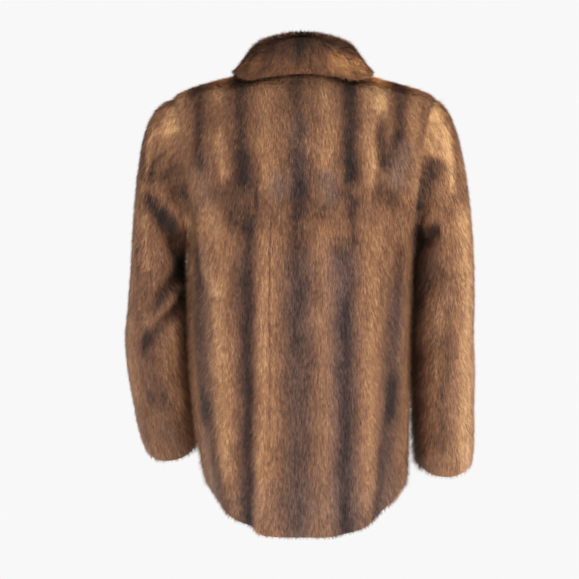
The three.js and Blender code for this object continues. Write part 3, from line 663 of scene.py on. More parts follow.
# For the sleeves across0 and across1 are degrees round from the outer line, through the back at 90.
# Beside the pelts' stripes, most lines are painted light and shade.
SLEEVE_STRIPES_AND_PAINTED_LIGHT = {
    "left": table(LINE, [
        # Painted highlights on the cap and upper sleeve, painted shade in its creases and pits, and painted
        # shadow along the inner side; the last four lines are the pelts' stripes
        (12, -16, 46, -90, 6, 0.3),
        (8, -26, 40, -98, 16, 0.13),
        (46, -76, 60, -124, 9, 0.2),
        (26, -76, 46, -160, 6, 0.24),
        (61, -108, 49, -148, 3.5, -0.3),
        (22, -147, 66, -155, 4, -0.3),
        (46, -156, 44, -180, 9, 0.16),
        (6, -84, 24, -144, 8, -0.16),
        (70, -138, 106, -194, 13, -0.2),
        (48, -184, 98, -220, 7, -0.32),
        (84, -210, 152, -252, 9, -0.36),
        (56, -202, 74, -300, 11, 0.18),
        (116, -198, 158, -248, 7, 0.2),
        (102, -160, 138, -220, 5, -0.3),
        (198, -260, 146, -304, 14, -0.32),
        (172, -288, 90, -352, 8, -0.22),
        (162, -334, 116, -354, 9, 0.16),
        (178, -328, 58, -416, 7, -0.26),
        (132, -366, 134, -530, 16, 0.16),
        (80, -396, 88, -486, 13, -0.13),
        (66, -408, 66, -484, 5, -0.1),
        (36, -366, 42, -510, 16, 0.12),
        (64, -490, 106, -510, 13, -0.16),
        (28, -170, 28, -350, 12, 0.08),
        (188, -270, 188, -640, 28, -0.32),
        (228, -160, 226, -700, 16, 0.1),
        (258, -100, 256, -700, 15, -0.2),
        (292, -60, 290, -700, 15, 0.14),
        (326, -40, 324, -700, 14, -0.2),
    ]),
    "right": table(LINE, [
        # Painted highlights on the cap and down the lit outer side, painted shade in the creases and the pit,
        # and painted shadow along the inner side; the last four lines are the pelts' stripes
        (6, -16, 36, -68, 8, 0.34),
        (28, -34, 64, -134, 16, 0.2),
        (28, -70, 63, -182, 7, 0.34),
        (8, -44, 46, -168, 4, -0.12),
        (60, -124, 134, -208, 9, -0.36),
        (120, -188, 162, -252, 10, -0.26),
        (96, -237, 172, -244, 11, -0.42),
        (164, -236, 164, -650, 24, -0.38),
        (128, -244, 134, -335, 20, -0.24),
        (102, -188, 72, -218, 12, -0.1),
        (44, -180, 50, -650, 20, 0.26),
        (96, -248, 94, -335, 12, -0.08),
        (86, -346, 90, -460, 9, -0.15),
        (92, -440, 104, -590, 12, -0.18),
        (126, -346, 126, -530, 12, -0.08),
        (208, -180, 210, -700, 18, 0.06),
        (246, -80, 246, -700, 16, -0.2),
        (284, -60, 284, -700, 15, 0.14),
        (322, -40, 322, -700, 14, -0.2),
    ]),
}
# Painted light and shade of the sleeve folds, in tone per millimetre of fold height
SLEEVE_FOLD_SHADE = 0.014

COLLAR_RUN = 62  # millimetres of the collar's level scale from the seam to the roll, and again to the edge
COLLAR_TONE = 0.27
# For the collar z is the share of the fall's depth in hundredths, less than nothing below the roll
COLLAR_MARKS = table(LINE, [
    (4, 10, 2, -88, 8, -0.2),
    (40, -58, -4, -62, 9, -0.13),
    (66, -28, 28, -48, 10, -0.06),
    (64, -18, 14, -15, 8, 0.1),
    (-14, -15, -66, -18, 8, 0.16),
    (-18, -78, -84, -84, 17, 0.58),
    (38, -82, 84, -86, 13, 0.2),
    (44, -20, 104, -64, 15, 0.13),
    (-58, -20, -108, -60, 15, 0.15),
])


JAGGED_CORNERS = 512
JAGGED_MIDDLE = 200


def jagged(x, step, seed):
    """An uneven line between -1 and 1, with a corner at every step."""
    corners = np.random.default_rng(seed).uniform(-1, 1, JAGGED_CORNERS)
    place = np.asarray(x) / step + JAGGED_MIDDLE
    i = np.clip(np.floor(place).astype(int), 0, JAGGED_CORNERS - 2)
    return lerp(corners[i], corners[i + 1], np.clip(place - i, 0, 1))


def soft_line(off, line):
    """Depth of a soft dark line at a distance from its middle."""
    return line["depth"] * np.exp(-((off / line["width"]) ** 2))


def join_shade(across, z):
    """Uneven shade, in points, where the pelts of the upper back are joined to those below."""
    point = np.abs((across - JOIN["first"]) / JOIN["step"] % 1 * 2 - 1)
    join = JOIN["level"] + JOIN["point"] * (2 * point - 1) + 5 * jagged(across, 23, 3)
    strength = JOIN["shade"] * (1 + 0.7 * jagged(across, 31, 6)) * (np.abs(across) < JOIN["end"])
    return strength * np.exp(-(((z - join) / JOIN["half_height"]) ** 2))


def front_edge_shade(across, z):
    """The line where the fronts meet."""
    levels = np.array([row["z"] for row in BODY_LEVELS], float)
    middles = [np.interp(z, levels, body_form(np.full(len(levels), turn), levels)[1]) for turn in (-2.0, 2.0)]
    return sum(soft_line(across - middle, FRONT_EDGE) for middle in middles)


def parting_shade(across, z):
    """The thin wavy line along which the pile of the left ridge parts."""
    line = PARTING["across"] + 1.3 * jagged(z, 5, 4) + 1.2 * jagged(z, 31, 5)
    shown = ease((PARTING["top"] - z) / PARTING["top_fade"])
    shown = shown * ease((z - PARTING["bottom"]) / PARTING["bottom_fade"])
    return shown * soft_line(across - line, PARTING_LINE)


def body_tone(across, z):
    wavy = across + 2 * jagged(z, 21, 8) + 1.4 * np.sin(z / 19 + across / 37)
    stripes = lines_at(BACK_STRIPES_AND_PAINTED_LIGHT, wavy, z, STRIPE_FADE) + lines_at(FRONT_STRIPES, wavy, z, STRIPE_FADE)
    # Painted light and shade of the body's folds: lighter on their ridges, darker in their grooves
    folds = BODY_FOLD_SHADE * lines_at(BODY_FOLDS, across, z)
    shade = join_shade(across, z) + front_edge_shade(across, z) + parting_shade(across, z)
    return BODY_TONE + stripes + folds - shade


def body_cool(across, z):
    return np.clip(0.12 + lines_at(COOL_LINES, across, z, STRIPE_FADE), 0, 1)


def sleeve_lines(lines):
    """The same lines with across in millimetres round the sleeve."""
    return [
        {**f, "across0": math.radians(f["around0"]) * SLEEVE_RADIUS,
         "across1": math.radians(f["around1"]) * SLEEVE_RADIUS}
        for f in lines
    ]


def sleeve_tone(name):
    folds = sleeve_lines(SLEEVES[name]["folds"])

    def tone(across, z):
        degrees = np.degrees(across / SLEEVE_RADIUS) + 1.6 * jagged(z, 19, 9)
        # Painted light and shade of the sleeve's folds: lighter on their ridges, darker in their grooves
        shade = SLEEVE_FOLD_SHADE * lines_at(folds, across, z) * ease((-60 - z) / 60)
        return SLEEVE_TONE_WITH_PAINTED_LIGHT[name] + lines_at(SLEEVE_STRIPES_AND_PAINTED_LIGHT[name], degrees, z, 0.1) + shade
    return tone


def sleeve_cool(across, z):
    return np.clip(0.1 + 0.4 * ease((-z - 180) / 200) * (0.6 + 0.4 * jagged(across + z / 3, 24, 10)), 0, 1)


def collar_tone(across, level):
    down = -level / COLLAR_RUN - 1
    tone = COLLAR_TONE + 0.16 * ease((down - 0.35) / 0.5) + lines_at(COLLAR_MARKS, across, -100 * down, 0.2)
    # Painted light: the pile lighter along the top of the roll
    tone += 0.13 * np.exp(-((down / 0.16) ** 2))
    return tone + 0.05 * jagged(across + 9 * down, 11, 11)


def collar_cool(across, level):
    return 0.05 + 0 * across


def pelt(slot, grid, across, level, sign, closed, tone, cool, downhill=0.0, longer=0.0, rise=0.0, hang=0.0):
    """A piece's form and pattern on its grid. Rows run the way the pile lies, down to the free edge, and
    downhill is the share by which the pile turns from them to the slope. longer is the share by which its
    length grows, rise its added lift in degrees, and hang how far it may reach past the free edge."""
    normal = grid_normals(grid, sign, closed)
    fields = [np.broadcast_to(x, grid.shape[:2]) for x in (level, downhill, longer, rise, hang)]
    if closed:
        wrap = lambda field: np.concatenate([field, field[:, :1]], 1)
        grid, normal, fields = wrap(grid), wrap(normal), [wrap(x) for x in fields]
        across = np.concatenate([across, across[:, :1] + 2 * math.pi * SLEEVE_RADIUS], 1)
    level, downhill, longer, rise, hang = fields
    row_way = unit(np.gradient(grid, axis=0))
    slope = normal * normal[..., 2:] - np.array([0, 0, 1.0])
    steps = np.linalg.norm(np.diff(grid, axis=0), axis=-1)
    room = np.concatenate([np.cumsum(steps[::-1], 0)[::-1], np.zeros((1, grid.shape[1]))])
    return {
        "slot": slot, "grid": grid, "normal": normal, "row_way": row_way, "room": room + hang,
        "down": unit(lerp(row_way, slope, downhill[..., None])), "across": across, "level": level,
        "closed": closed, "tone": tone, "cool": cool, "longer": longer, "rise": rise, "sign": sign,
    }


HASH_SIZE = 4096


def hashed(a, b, seed):
    """A steady random number between 0 and 1 for each pair of whole numbers, which primes keep apart."""
    numbers = np.random.default_rng(seed).random(HASH_SIZE)
    return numbers[(a * 73 + b * 179 + 17 * (a * b % 31)) % HASH_SIZE]


def scatter(p, count, pile, rng, columns):
    """A reader of the pelt's fields at random places, spread evenly over the pelt."""
    grid = p["grid"][: -pile["bare_rows"]]
    a, b = grid[1:, 1:] - grid[:-1, :-1], grid[1:, :-1] - grid[:-1, 1:]
    area = np.linalg.norm(np.cross(a, b), axis=-1) / 2
    first, last = columns or (0, area.shape[1])
    area[:, :first] = 0
    area[:, last:] = 0
    area[: pile.get("first_row", 0)] = 0
    total = np.cumsum(area.ravel())
    cell = np.searchsorted(total, rng.random(count) * total[-1])
    r, c = np.divmod(np.minimum(cell, area.size - 1), area.shape[1])
    v, u = rng.random(count), rng.random(count)

    def at(name):
        field = p[name]
        vv, uu = (v[:, None], u[:, None]) if field.ndim == 3 else (v, u)
        upper = lerp(field[r, c], field[r, c + 1], uu)
        lower = lerp(field[r + 1, c], field[r + 1, c + 1], uu)
        return lerp(upper, lower, vv)
    return at


TUFT_SWAY = {"across": 0.35, "each_level": 9, "down": 0.4, "each_across": 7}


def tufts(across, level, pile):
    """A steady random number for the tuft of each place, and how far across the place is from its middle."""
    wide, tall = pile["tuft"]
    sway = TUFT_SWAY["across"] * np.sin(level / TUFT_SWAY["each_level"])
    a = np.floor(across / wide + sway).astype(int)
    b = np.floor(level / tall + TUFT_SWAY["down"] * np.sin(across / TUFT_SWAY["each_across"])).astype(int)
    return hashed(a, b, pile["seed"]), across - (a + 0.5 - sway) * wide


# Slow waves by which the pile leaves its way, with their length in millimetres over two pi
WANDER_WAVES = table("across level start share", [
    (31, 83, 1.3, 1),
    (17, -46, 0, 0.6),
    (53, 29, 0.7, 0.5),
])
# Shares by which blades differ, and angles in degrees
LENGTH_SPREAD = 0.18
LENGTH_RANGE = (0.5, 1.5)
SHORTEST_REACH = 3
WIDTH_RANGE = (0.7, 1.3)
ROLL_SPREAD = 35
ROOT_DEPTH = SKIN_DEPTH + 0.5
LIFT_BY_TUFT = 0.4
LEAST_TUFT_PULL = 0.4
STRAY_SHARE = 0.04
TOP_TURN = 1.2  # how far the lit side of the pile turns the way it lies, where the pelt faces up
SHINE_ASIDE = 0.5
SHINE_DOWN = (-0.35, 0.2)


def grow(p, count, pile, rng, columns=None):
    """Blades of pile on a pelt, one long triangle each."""
    at = scatter(p, count, pile, rng, columns)
    normal, down, row_way = [unit(at(name)) for name in ("normal", "down", "row_way")]
    side = unit(np.cross(down, normal)) * p["sign"]
    back = rng.uniform(0, pile["lap"][0], count)
    aside = rng.uniform(-1, 1, count) * pile["lap"][1]
    place = at("grid") - row_way * back[:, None] + side * aside[:, None]
    across, level, room = at("across") + aside, at("level") + back, at("room") + back
    tuft, off_centre = tufts(across, level, pile)

    wander = pile["wander"] * sum(
        w["share"] * np.sin(across / w["across"] + level / w["level"] + w["start"]) for w in WANDER_WAVES
    )
    lean = np.radians(wander + rng.normal(0, pile["spread"], count) + (tuft - 0.5) * pile["tuft_lean"])
    low, high = pile["lift"]
    lift = low + (high - low) * np.clip(rng.beta(2, 2.5, count) + (tuft - 0.5) * LIFT_BY_TUFT, 0, 1)
    lift = np.radians(lift + at("rise") * rng.random(count))
    uneven = (1 + LENGTH_SPREAD * rng.normal(0, 1, count)).clip(*LENGTH_RANGE)
    length = pile["length"] * uneven * (1 + at("longer"))
    past = pile["past_edge"] * (rng.uniform(-1, 1, count) + 2 * (rng.random(count) < STRAY_SHARE))
    reach = np.minimum(length * np.cos(lift), room + past)
    length = np.maximum(reach, SHORTEST_REACH) / np.cos(lift)

    lay = down * np.cos(lean)[:, None] + side * np.sin(lean)[:, None]
    roll = np.radians(rng.uniform(-ROLL_SPREAD, ROLL_SPREAD, count))[:, None]
    width_way = unit(np.cross(lay, normal)) * np.cos(roll) + normal * np.sin(roll)
    half_width = (pile["width"] / 2 * lerp(*WIDTH_RANGE, rng.random(count)))[:, None]
    root = place - normal * ROOT_DEPTH
    pull = off_centre * pile["tuft_pull"] * lerp(LEAST_TUFT_PULL, 1, tuft)
    tip = root + (lay * np.cos(lift)[:, None] + normal * np.sin(lift)[:, None]) * length[:, None]
    tip -= side * pull[:, None]
    points = np.stack([root + width_way * half_width, root - width_way * half_width, tip], 1)
    tip_across = across + reach * np.sin(lean) - pull
    tip_level = level - reach * np.cos(lean)
    corners = (across + half_width[:, 0], level), (across - half_width[:, 0], level), (tip_across, tip_level)
    panel = np.stack([np.stack(corner, -1) for corner in corners], 1)

    facing = np.cross(points[:, 1] - points[:, 0], points[:, 2] - points[:, 0])
    lit_side = unit(normal + down * (TOP_TURN * np.maximum(0, normal[:, 2:])))
    flip = (facing * lit_side).sum(-1) < 0
    points[flip] = points[flip][:, [1, 0, 2]]
    panel[flip] = panel[flip][:, [1, 0, 2]]
    shine = lit_side + side * rng.uniform(-SHINE_ASIDE, SHINE_ASIDE, (count, 1))
    shine = shine + down * rng.uniform(*SHINE_DOWN, (count, 1))
    shading = np.repeat(unit(shine)[:, None], 3, 1)
    hair = 0.5 * tuft + 0.5 * rng.random(count)
    return points, panel, shading, np.repeat(hair[:, None], 3, 1)


def new_mesh(name, points, faces, normals=None):
    """A mesh from arrays. Each row of faces has the point numbers of one face's corners."""
    mesh = bpy.data.meshes.new(name)
    mesh.vertices.add(len(points))
    mesh.vertices.foreach_set("co", (points * MM).astype(np.float32).ravel())
    mesh.loops.add(faces.size)
    mesh.loops.foreach_set("vertex_index", faces.astype(np.int32).ravel())
    mesh.polygons.add(len(faces))
    mesh.polygons.foreach_set("loop_start", np.arange(0, faces.size, faces.shape[1], dtype=np.int32))
    mesh.update(calc_edges=True)
    if normals is not None:
        custom = mesh.attributes.new("custom_normal", "FLOAT_VECTOR", "POINT")
        custom.data.foreach_set("vector", normals.astype(np.float32).ravel())
    return mesh


def add_values(mesh, name, values):
    mesh.attributes.new(name, "FLOAT", "POINT").data.foreach_set("value", values.astype(np.float32).ravel())


def add_map(mesh, name, corner_places):
    layer = mesh.uv_layers.new(name=name)
    layer.uv.foreach_set("vector", corner_places.astype(np.float32).ravel())


BAKE_MARGIN = 20
BAKE_EDGE = 0.002


def bake_places(p, panel):
    """The pattern's places, fitted into the square that a bake fills."""
    low = np.array([p["across"].min(), p["level"].min()]) - BAKE_MARGIN
    high = np.array([p["across"].max(), p["level"].max()]) + BAKE_MARGIN
    return np.clip((panel - low) / (high - low), BAKE_EDGE, 1 - BAKE_EDGE)


def new_object(name, mesh, materials):
    obj = bpy.data.objects.new(name, mesh)
    bpy.context.scene.collection.objects.link(obj)
    for material in materials:
        mesh.materials.append(material)
    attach(obj, "root")
    return obj


def fur_piece(p, name, count, pile, seed, material, columns=None):
    points, panel, normals, hair = grow(p, count, pile, np.random.default_rng(seed), columns)
    mesh = new_mesh(name, points.reshape(-1, 3), np.arange(3 * count).reshape(-1, 3), normals.reshape(-1, 3))
    flat = panel.reshape(-1, 2)
    add_values(mesh, "tone", p["tone"](flat[:, 0], flat[:, 1]))
    add_values(mesh, "cool", p["cool"](flat[:, 0], flat[:, 1]))
    add_values(mesh, "hair", hair)
    add_map(mesh, "pelt", flat * MM)
    add_map(mesh, "OFBake", bake_places(p, flat))
    obj = new_object(name, mesh, [material])
    return obj


def wall_faces(rows, columns, closed):
    """Faces of a closed wall on a grid: its outer side, its inner side and its rims. They are given by the
    numbers of the wall's points and again by those of the grid's places."""
    span = columns - 1 if closed else columns
    inside = rows * span
    number = lambda r, c: r * span + c % span
    r, c = [x.ravel() for x in np.meshgrid(np.arange(rows - 1), np.arange(columns - 1), indexing="ij")]
    round_cell = ((0, 0), (1, 0), (1, 1), (0, 1))
    side = np.stack([number(r + i, c + j) for i, j in round_cell], -1)
    side_places = np.stack([(r + i) * columns + c + j for i, j in round_cell], -1)
    faces, places = [side, inside + side[:, ::-1]], [side_places, side_places[:, ::-1]]
    j, k = np.arange(rows - 1), np.arange(columns - 1)
    rims = [(0, k, 0, k + 1, 1), (rows - 1, k, rows - 1, k + 1, -1)]
    if not closed:
        rims += [(j, 0, j + 1, 0, -1), (j, columns - 1, j + 1, columns - 1, 1)]
    for r0, c0, r1, c1, way in rims:
        a, b = number(r0, c0), number(r1, c1)
        faces.append(np.stack([a, b, inside + b, inside + a], -1)[:, ::way])
        a, b = r0 * columns + c0, r1 * columns + c1
        places.append(np.stack([a, b, b, a], -1))
    return np.concatenate(faces), np.concatenate(places), len(side)


SKIN_LAST_ROW = 0.6
SKIN_BELOW_FORM = SKIN_DEPTH + 0.3
SKIN_DARKER = 0.12
SKIN_HAIR = 0.4
BAKE_HALF = 0.49
INNER_BAKE_START = 0.51


def skin_piece(p, name, inner_depth, materials, node):
    """The pelt under the pile, as a closed thin wall that ends a little short of the pile's free edge."""
    shorten = lambda rows: np.concatenate([rows[:-1], lerp(rows[-2:-1], rows[-1:], SKIN_LAST_ROW)])
    grid, normal, across, level = [shorten(p[key]) for key in ("grid", "normal", "across", "level")]
    rows, columns = grid.shape[:2]
    inner_depth = np.broadcast_to(inner_depth, (rows,))[:, None, None]
    span = columns - 1 if p["closed"] else columns
    walls = [(grid - normal * depth)[:, :span].reshape(-1, 3) for depth in (SKIN_BELOW_FORM, inner_depth)]
    points = np.concatenate(walls)
    faces, places, outer_count = wall_faces(rows, columns, p["closed"])
    a, b, c = [points[faces[:outer_count, k]] for k in range(3)]
    outward = normal[:, :span].reshape(-1, 3)[faces[:outer_count, 0]]
    if (np.cross(b - a, c - a) * outward).sum() < 0:
        faces, places = faces[:, ::-1], places[:, ::-1]
    inner_faces = np.arange(len(faces)) >= outer_count
    panel = np.stack([across.ravel(), level.ravel()], -1)
    square = bake_places(p, panel) * [BAKE_HALF, 1]
    corners = square[places] + inner_faces[:, None, None] * np.array([INNER_BAKE_START, 0])
    mesh = new_mesh(name, points, faces)
    own = np.stack([across[:, :span].ravel(), level[:, :span].ravel()], -1)
    both = np.concatenate([own, own])
    add_values(mesh, "tone", p["tone"](both[:, 0], both[:, 1]) - SKIN_DARKER)
    add_values(mesh, "cool", p["cool"](both[:, 0], both[:, 1]))
    add_values(mesh, "hair", np.full(len(points), SKIN_HAIR))
    add_map(mesh, "pelt", panel[places].reshape(-1, 2) * MM)
    add_map(mesh, "OFBake", corners.reshape(-1, 2))
    obj = new_object(name, mesh, materials)
    mesh.polygons.foreach_set("material_index", inner_faces.astype(np.int32))
    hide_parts(node)


def srgb(r, g, b):
    """A linear colour from display values of 0 to 255."""
    linear = lambda v: v / 12.92 if v <= 0.04045 else ((v + 0.055) / 1.055) ** 2.4
    return (linear(r / 255), linear(g / 255), linear(b / 255), 1)


def node(tree, kind, inputs=None, **settings):
    made = tree.nodes.new(kind)
    for key, value in settings.items():
        setattr(made, key, value)
    for key, value in (inputs or {}).items():
        if isinstance(value, bpy.types.NodeSocket):
            tree.links.new(value, made.inputs[key])
        else:
            made.inputs[key].default_value = value
    return made


def ramp(tree, factor, stops):
    made = node(tree, "ShaderNodeValToRGB", {"Fac": factor})
    bar = made.color_ramp
    while len(bar.elements) < len(stops):
        bar.elements.new(0.5)
    for element, (place, colour) in zip(bar.elements, stops):
        element.position = place
        element.color = srgb(*colour)
    return made.outputs["Color"]


def noise(tree, places, size, detail=2.0, seed=0.0):
    """Noise whose grains are size across and down, in metres of the pelt."""
    scaled = node(
        tree, "ShaderNodeMapping",
        {"Vector": places, "Scale": (1 / size[0], 1 / size[1], 1), "Location": (seed, seed, 0)},
    )
    made = node(
        tree, "ShaderNodeTexNoise",
        {"Vector": scaled.outputs["Vector"], "Scale": 1.0, "Detail": detail},
        noise_dimensions="2D",
    )
    return made.outputs["Fac"]


def sum_of(tree, *terms):
    """The sum of sockets, each centred on nothing or on a half and weighed."""
    total = None
    for socket, centre, weight in terms:
        less = node(tree, "ShaderNodeMath", {0: socket, 1: centre}, operation="SUBTRACT").outputs[0]
        scaled = node(tree, "ShaderNodeMath", {0: less, 1: weight}, operation="MULTIPLY").outputs[0]
        total = scaled if total is None else node(
            tree, "ShaderNodeMath", {0: total, 1: scaled}, operation="ADD"
        ).outputs[0]
    return total


# Colours of the pile at some tones, from 0 to 255 a channel
COLOUR_TONES = (0.0, 0.22, 0.5, 0.72, 1.0)
WARM = ((44, 27, 20), (86, 55, 39), (146, 99, 67), (192, 139, 96), (252, 206, 146))
COOL = ((48, 37, 37), (88, 66, 62), (140, 108, 94), (178, 141, 119), (214, 178, 146))
WARM_COLLAR = ((44, 27, 19), (82, 51, 35), (140, 91, 58), (188, 129, 80), (236, 176, 114))
INSIDE_STOPS = [(0.3, (92, 66, 50)), (0.7, (112, 82, 62))]


def fur_material(name, warm, seed):
    material = bpy.data.materials.new(name)
    material.use_nodes = True
    tree = material.node_tree
    shader = tree.nodes["Principled BSDF"]
    read = lambda title: node(tree, "ShaderNodeAttribute", attribute_name=title).outputs["Fac"]
    places = node(tree, "ShaderNodeUVMap", uv_map="pelt").outputs["UV"]
    streak = noise(tree, places, (0.002, 0.0075), 3.0, seed)
    mottle = noise(tree, places, (0.018, 0.05), 3.0, seed + 4)
    tone = sum_of(
        tree, (read("tone"), 0.0, 1.0), (streak, 0.5, 0.4), (mottle, 0.5, 0.28), (read("hair"), 0.5, 0.3)
    )
    warm_colour, cool_colour = [ramp(tree, tone, list(zip(COLOUR_TONES, stops))) for stops in (warm, COOL)]
    colour = node(
        tree, "ShaderNodeMix", {"Factor": read("cool"), "A": warm_colour, "B": cool_colour}, data_type="RGBA"
    )
    mixed = next(s for s in colour.outputs if s.type == "RGBA")
    tree.links.new(mixed, shader.inputs["Base Color"])
    rough = node(tree, "ShaderNodeMapRange", {"Value": streak, "To Min": 0.42, "To Max": 0.62})
    tree.links.new(rough.outputs["Result"], shader.inputs["Roughness"])
    shader.inputs["Specular IOR Level"].default_value = 0.35
    shader.inputs["Sheen Weight"].default_value = 0.18
    shader.inputs["Sheen Roughness"].default_value = 0.4
    shader.inputs["Sheen Tint"].default_value = srgb(235, 215, 195)
    return material


def inside_material():
    """Plain dressed skin on the inside."""
    material = bpy.data.materials.new("pelt_inside")
    material.use_nodes = True
    tree = material.node_tree
    shader = tree.nodes["Principled BSDF"]
    places = node(tree, "ShaderNodeUVMap", uv_map="pelt").outputs["UV"]
    grain = noise(tree, places, (0.004, 0.004), 4.0, 2)
    tree.links.new(ramp(tree, grain, INSIDE_STOPS), shader.inputs["Base Color"])
    bump = node(tree, "ShaderNodeBump", {"Height": grain, "Strength": 0.2, "Distance": 0.0004})
    tree.links.new(bump.outputs["Normal"], shader.inputs["Normal"])
    shader.inputs["Roughness"].default_value = 0.6
    shader.inputs["Sheen Weight"].default_value = 0.2
    return material


def arc(points):
    """Length along a line of points, from nothing at its middle point."""
    lengths = np.concatenate([[0], np.cumsum(np.linalg.norm(np.diff(points, axis=0), axis=1))])
    return lengths - lengths[len(lengths) // 2]


# Number of blades of pile on each piece, and on each half of the back
BLADES = {"back_half": 185000, "front": 90000, "sleeve": 110000, "collar": 90000}
BODY_PILE = {
    "length": 11, "width": 1.05, "lift": (17, 40), "wander": 2.5, "spread": 6, "tuft": (3.2, 7),
    "tuft_lean": 7, "tuft_pull": 0.25, "past_edge": 1.3, "bare_rows": 1, "lap": (3, 3), "seed": 21,
}
SLEEVE_PILE = {**BODY_PILE, "lap": (9, 1), "seed": 22}
COLLAR_PILE = {
    "length": 13, "width": 1.15, "lift": (18, 44), "wander": 4, "spread": 8, "tuft": (4, 9),
    "tuft_lean": 14, "tuft_pull": 0.4, "past_edge": 1.6, "bare_rows": 1, "lap": (0, 1), "seed": 23,
    "first_row": 1,
}
CAP_TURN = 1.6  # how soon the pile of the cap turns to the slope, from the first row of the sleeve up
COLLAR_WALL = {"stand": 8, "thinner": 1.2}
# Where the collar's pile changes, in shares from the seam at 0 over the roll at 1 to the edge at 2
COLLAR_FADES = {"roll": 0.3, "stand_end": 0.8, "stand_run": 0.35, "edge_start": 1.5, "edge_run": 0.4}
COLLAR_SIDE_REACH = 0.2
STAND_LONGER = -0.55
ROLL_RISE = 16
COLLAR_HANG = {"across": 46, "width": 18, "least": 2.5, "left": 8, "right": 13, "side": 5, "longer": 0.45}
ARM_INSIDE = {"around": 184, "width": 34, "longer": 0.6, "rise": 42, "below": -215}
BODY_SIDE = {"across": 223, "width": 14, "longer": 0.35, "rise": 34, "below": -235}


def side_fluff(across, level):
    """Share of the fuller pile at the sides of the body, which meets that of the sleeves."""
    near = np.exp(-(((np.abs(across) - BODY_SIDE["across"]) / BODY_SIDE["width"]) ** 2))
    return near * (level < BODY_SIDE["below"])


def body_panel(grid, across, level):
    fluff = side_fluff(across, level)
    longer, rise = BODY_SIDE["longer"] * fluff, BODY_SIDE["rise"] * fluff
    return pelt("mink_body", grid, across, level, 1, False, body_tone, body_cool, 1.0, longer, rise)


def build_body(fur, inside):
    back = body_panel(*body_grid("back"))
    middle = BACK_COLUMNS // 2
    halves = [
        fur_piece(back, "back_pile_right", BLADES["back_half"], BODY_PILE, 101, fur, (0, middle)),
        fur_piece(back, "back_pile_left", BLADES["back_half"], BODY_PILE, 102, fur, (middle, BACK_COLUMNS)),
    ]
    skin_piece(back, "back_pelt", WALL, [fur, inside], "back")
    for side, name, seed in ((1, "front_left", 103), (-1, "front_right", 104)):
        front = body_panel(*body_grid("front", side))
        pile = fur_piece(front, name + "_pile", BLADES["front"], BODY_PILE, seed, fur)
        skin_piece(front, name + "_pelt", WALL, [fur, inside], name)


def build_sleeve(word, seed, fur, inside):
    name = "sleeve_" + word
    grid, around = sleeve_grid(word)
    cap = np.linspace(1, 0, SLEEVE_CAP_ROWS + 1)[:, None]
    downhill = np.concatenate([ease(cap * CAP_TURN), np.zeros((SLEEVE_ROWS, 1))])
    near = np.exp(-(((np.degrees(around) - ARM_INSIDE["around"]) / ARM_INSIDE["width"]) ** 2))
    near = near * (grid[..., 2] < ARM_INSIDE["below"])
    sleeve = pelt(
        "mink_sleeve", grid, around * SLEEVE_RADIUS, grid[..., 2], -SLEEVES[word]["side"], True,
        sleeve_tone(word), sleeve_cool, downhill, ARM_INSIDE["longer"] * near, ARM_INSIDE["rise"] * near,
    )
    pile = fur_piece(sleeve, name + "_pile", BLADES["sleeve"], SLEEVE_PILE, seed, fur)
    skin_piece(sleeve, name + "_pelt", WALL, [fur, inside], name)


def build_collar(fur, inside):
    grid, turns, shares = collar_grid()
    along = np.broadcast_to(arc(grid[COLLAR_STAND_ROWS]), grid.shape[:2])
    level = np.broadcast_to(-COLLAR_RUN * shares[:, None], grid.shape[:2])
    fades = COLLAR_FADES
    rise = (ROLL_RISE * (shares >= 1) * np.exp(-(((shares - 1) / fades["roll"]) ** 2)))[:, None]
    dip = np.exp(-(((np.abs(along) - COLLAR_HANG["across"]) / COLLAR_HANG["width"]) ** 2))
    hang = lerp(COLLAR_HANG["least"], np.where(along > 0, COLLAR_HANG["left"], COLLAR_HANG["right"]), dip)
    hang = hang + COLLAR_HANG["side"] * np.exp(-(((np.abs(turns) - 1) / COLLAR_SIDE_REACH) ** 2))
    longer = (STAND_LONGER * (1 - ease((shares - fades["stand_end"]) / fades["stand_run"])))[:, None]
    near_edge = ease((shares - fades["edge_start"]) / fades["edge_run"])[:, None]
    longer = longer + COLLAR_HANG["longer"] * dip * near_edge
    collar = pelt(
        "mink_collar", grid, along, level, 1, False, collar_tone, collar_cool,
        longer=longer, rise=rise, hang=hang,
    )
    pile = fur_piece(collar, "collar_pile", BLADES["collar"], COLLAR_PILE, 107, fur)
    depth = COLLAR_WALL["stand"] - COLLAR_WALL["thinner"] * np.clip(shares - 1, 0, 1)
    skin_piece(collar, "collar_pelt", depth, [fur, inside], "collar")


def build_coat():
    inside = inside_material()
    build_body(fur_material("mink_body_pile", WARM, 0), inside)
    sleeve_fur = fur_material("mink_sleeve_pile", WARM, 7)
    for word, seed in (("left", 105), ("right", 106)):
        build_sleeve(word, seed, sleeve_fur, inside)
    build_collar(fur_material("mink_collar_pile", WARM_COLLAR, 13), inside)


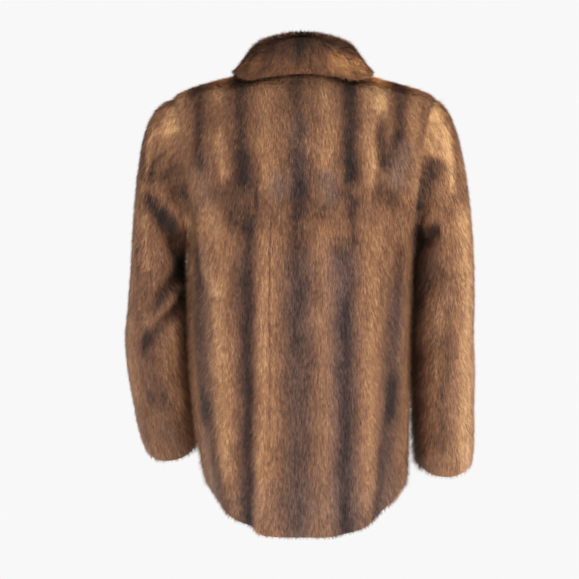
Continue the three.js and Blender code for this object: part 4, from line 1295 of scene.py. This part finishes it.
def plain_material(name, colour, roughness):
    material = bpy.data.materials.new(name)
    material.use_nodes = True
    shader = material.node_tree.nodes["Principled BSDF"]
    shader.inputs["Base Color"].default_value = colour
    shader.inputs["Roughness"].default_value = roughness
    return material


FLOOR_LEVEL = -1.42
FLOOR_SIZE = 5.0


def build_floor():
    mesh = bpy.data.meshes.new("floor")
    half = FLOOR_SIZE / 2
    corners = [(x * half, y * half, FLOOR_LEVEL) for x, y in ((-1, -1), (1, -1), (1, 1), (-1, 1))]
    mesh.from_pydata(corners, [], [(0, 1, 2, 3)])
    mesh.materials.append(plain_material("pale_floor", (0.78, 0.78, 0.77, 1), 0.9))
    floor = bpy.data.objects.new("floor", mesh)
    bpy.context.scene.collection.objects.link(floor)


def add_light(name, place, aim, size, watts, colour):
    light = bpy.data.lights.new(name, "AREA")
    light.shape = "DISK"
    light.size = size
    light.energy = watts
    light.color = colour
    obj = bpy.data.objects.new(name, light)
    obj.location = place
    obj.rotation_euler = (Vector(aim) - Vector(place)).to_track_quat("-Z", "Y").to_euler()
    bpy.context.scene.collection.objects.link(obj)


def build_light():
    world = bpy.data.worlds.new("studio")
    world.use_nodes = True
    background = world.node_tree.nodes["Background"]
    background.inputs["Color"].default_value = (0.939, 0.939, 0.939, 1)
    background.inputs["Strength"].default_value = 1.0
    bpy.context.scene.world = world
    middle = (0, 0, -0.3)
    add_light("key", (-2.1, 2.0, 1.5), middle, 1.4, 75, (1.0, 0.94, 0.86))
    add_light("fill", (2.4, 1.8, 0.6), middle, 2.0, 22, (0.97, 0.97, 1.0))
    add_light("top", (-0.6, -0.5, 2.2), middle, 1.2, 90, (1.0, 0.95, 0.87))
    bpy.context.scene.view_settings.view_transform = "Standard"


def build_camera():
    data = bpy.data.cameras.new("camera")
    data.sensor_width = SENSOR
    data.lens = SENSOR * CAMERA_PLACE[1] / VIEW_WIDTH
    camera = bpy.data.objects.new("camera", data)
    camera.location = CAMERA_PLACE
    camera.rotation_euler = (math.pi / 2, 0, math.pi)
    bpy.context.scene.collection.objects.link(camera)
    bpy.context.scene.camera = camera


build_coat()
build_floor()
build_light()
build_camera()
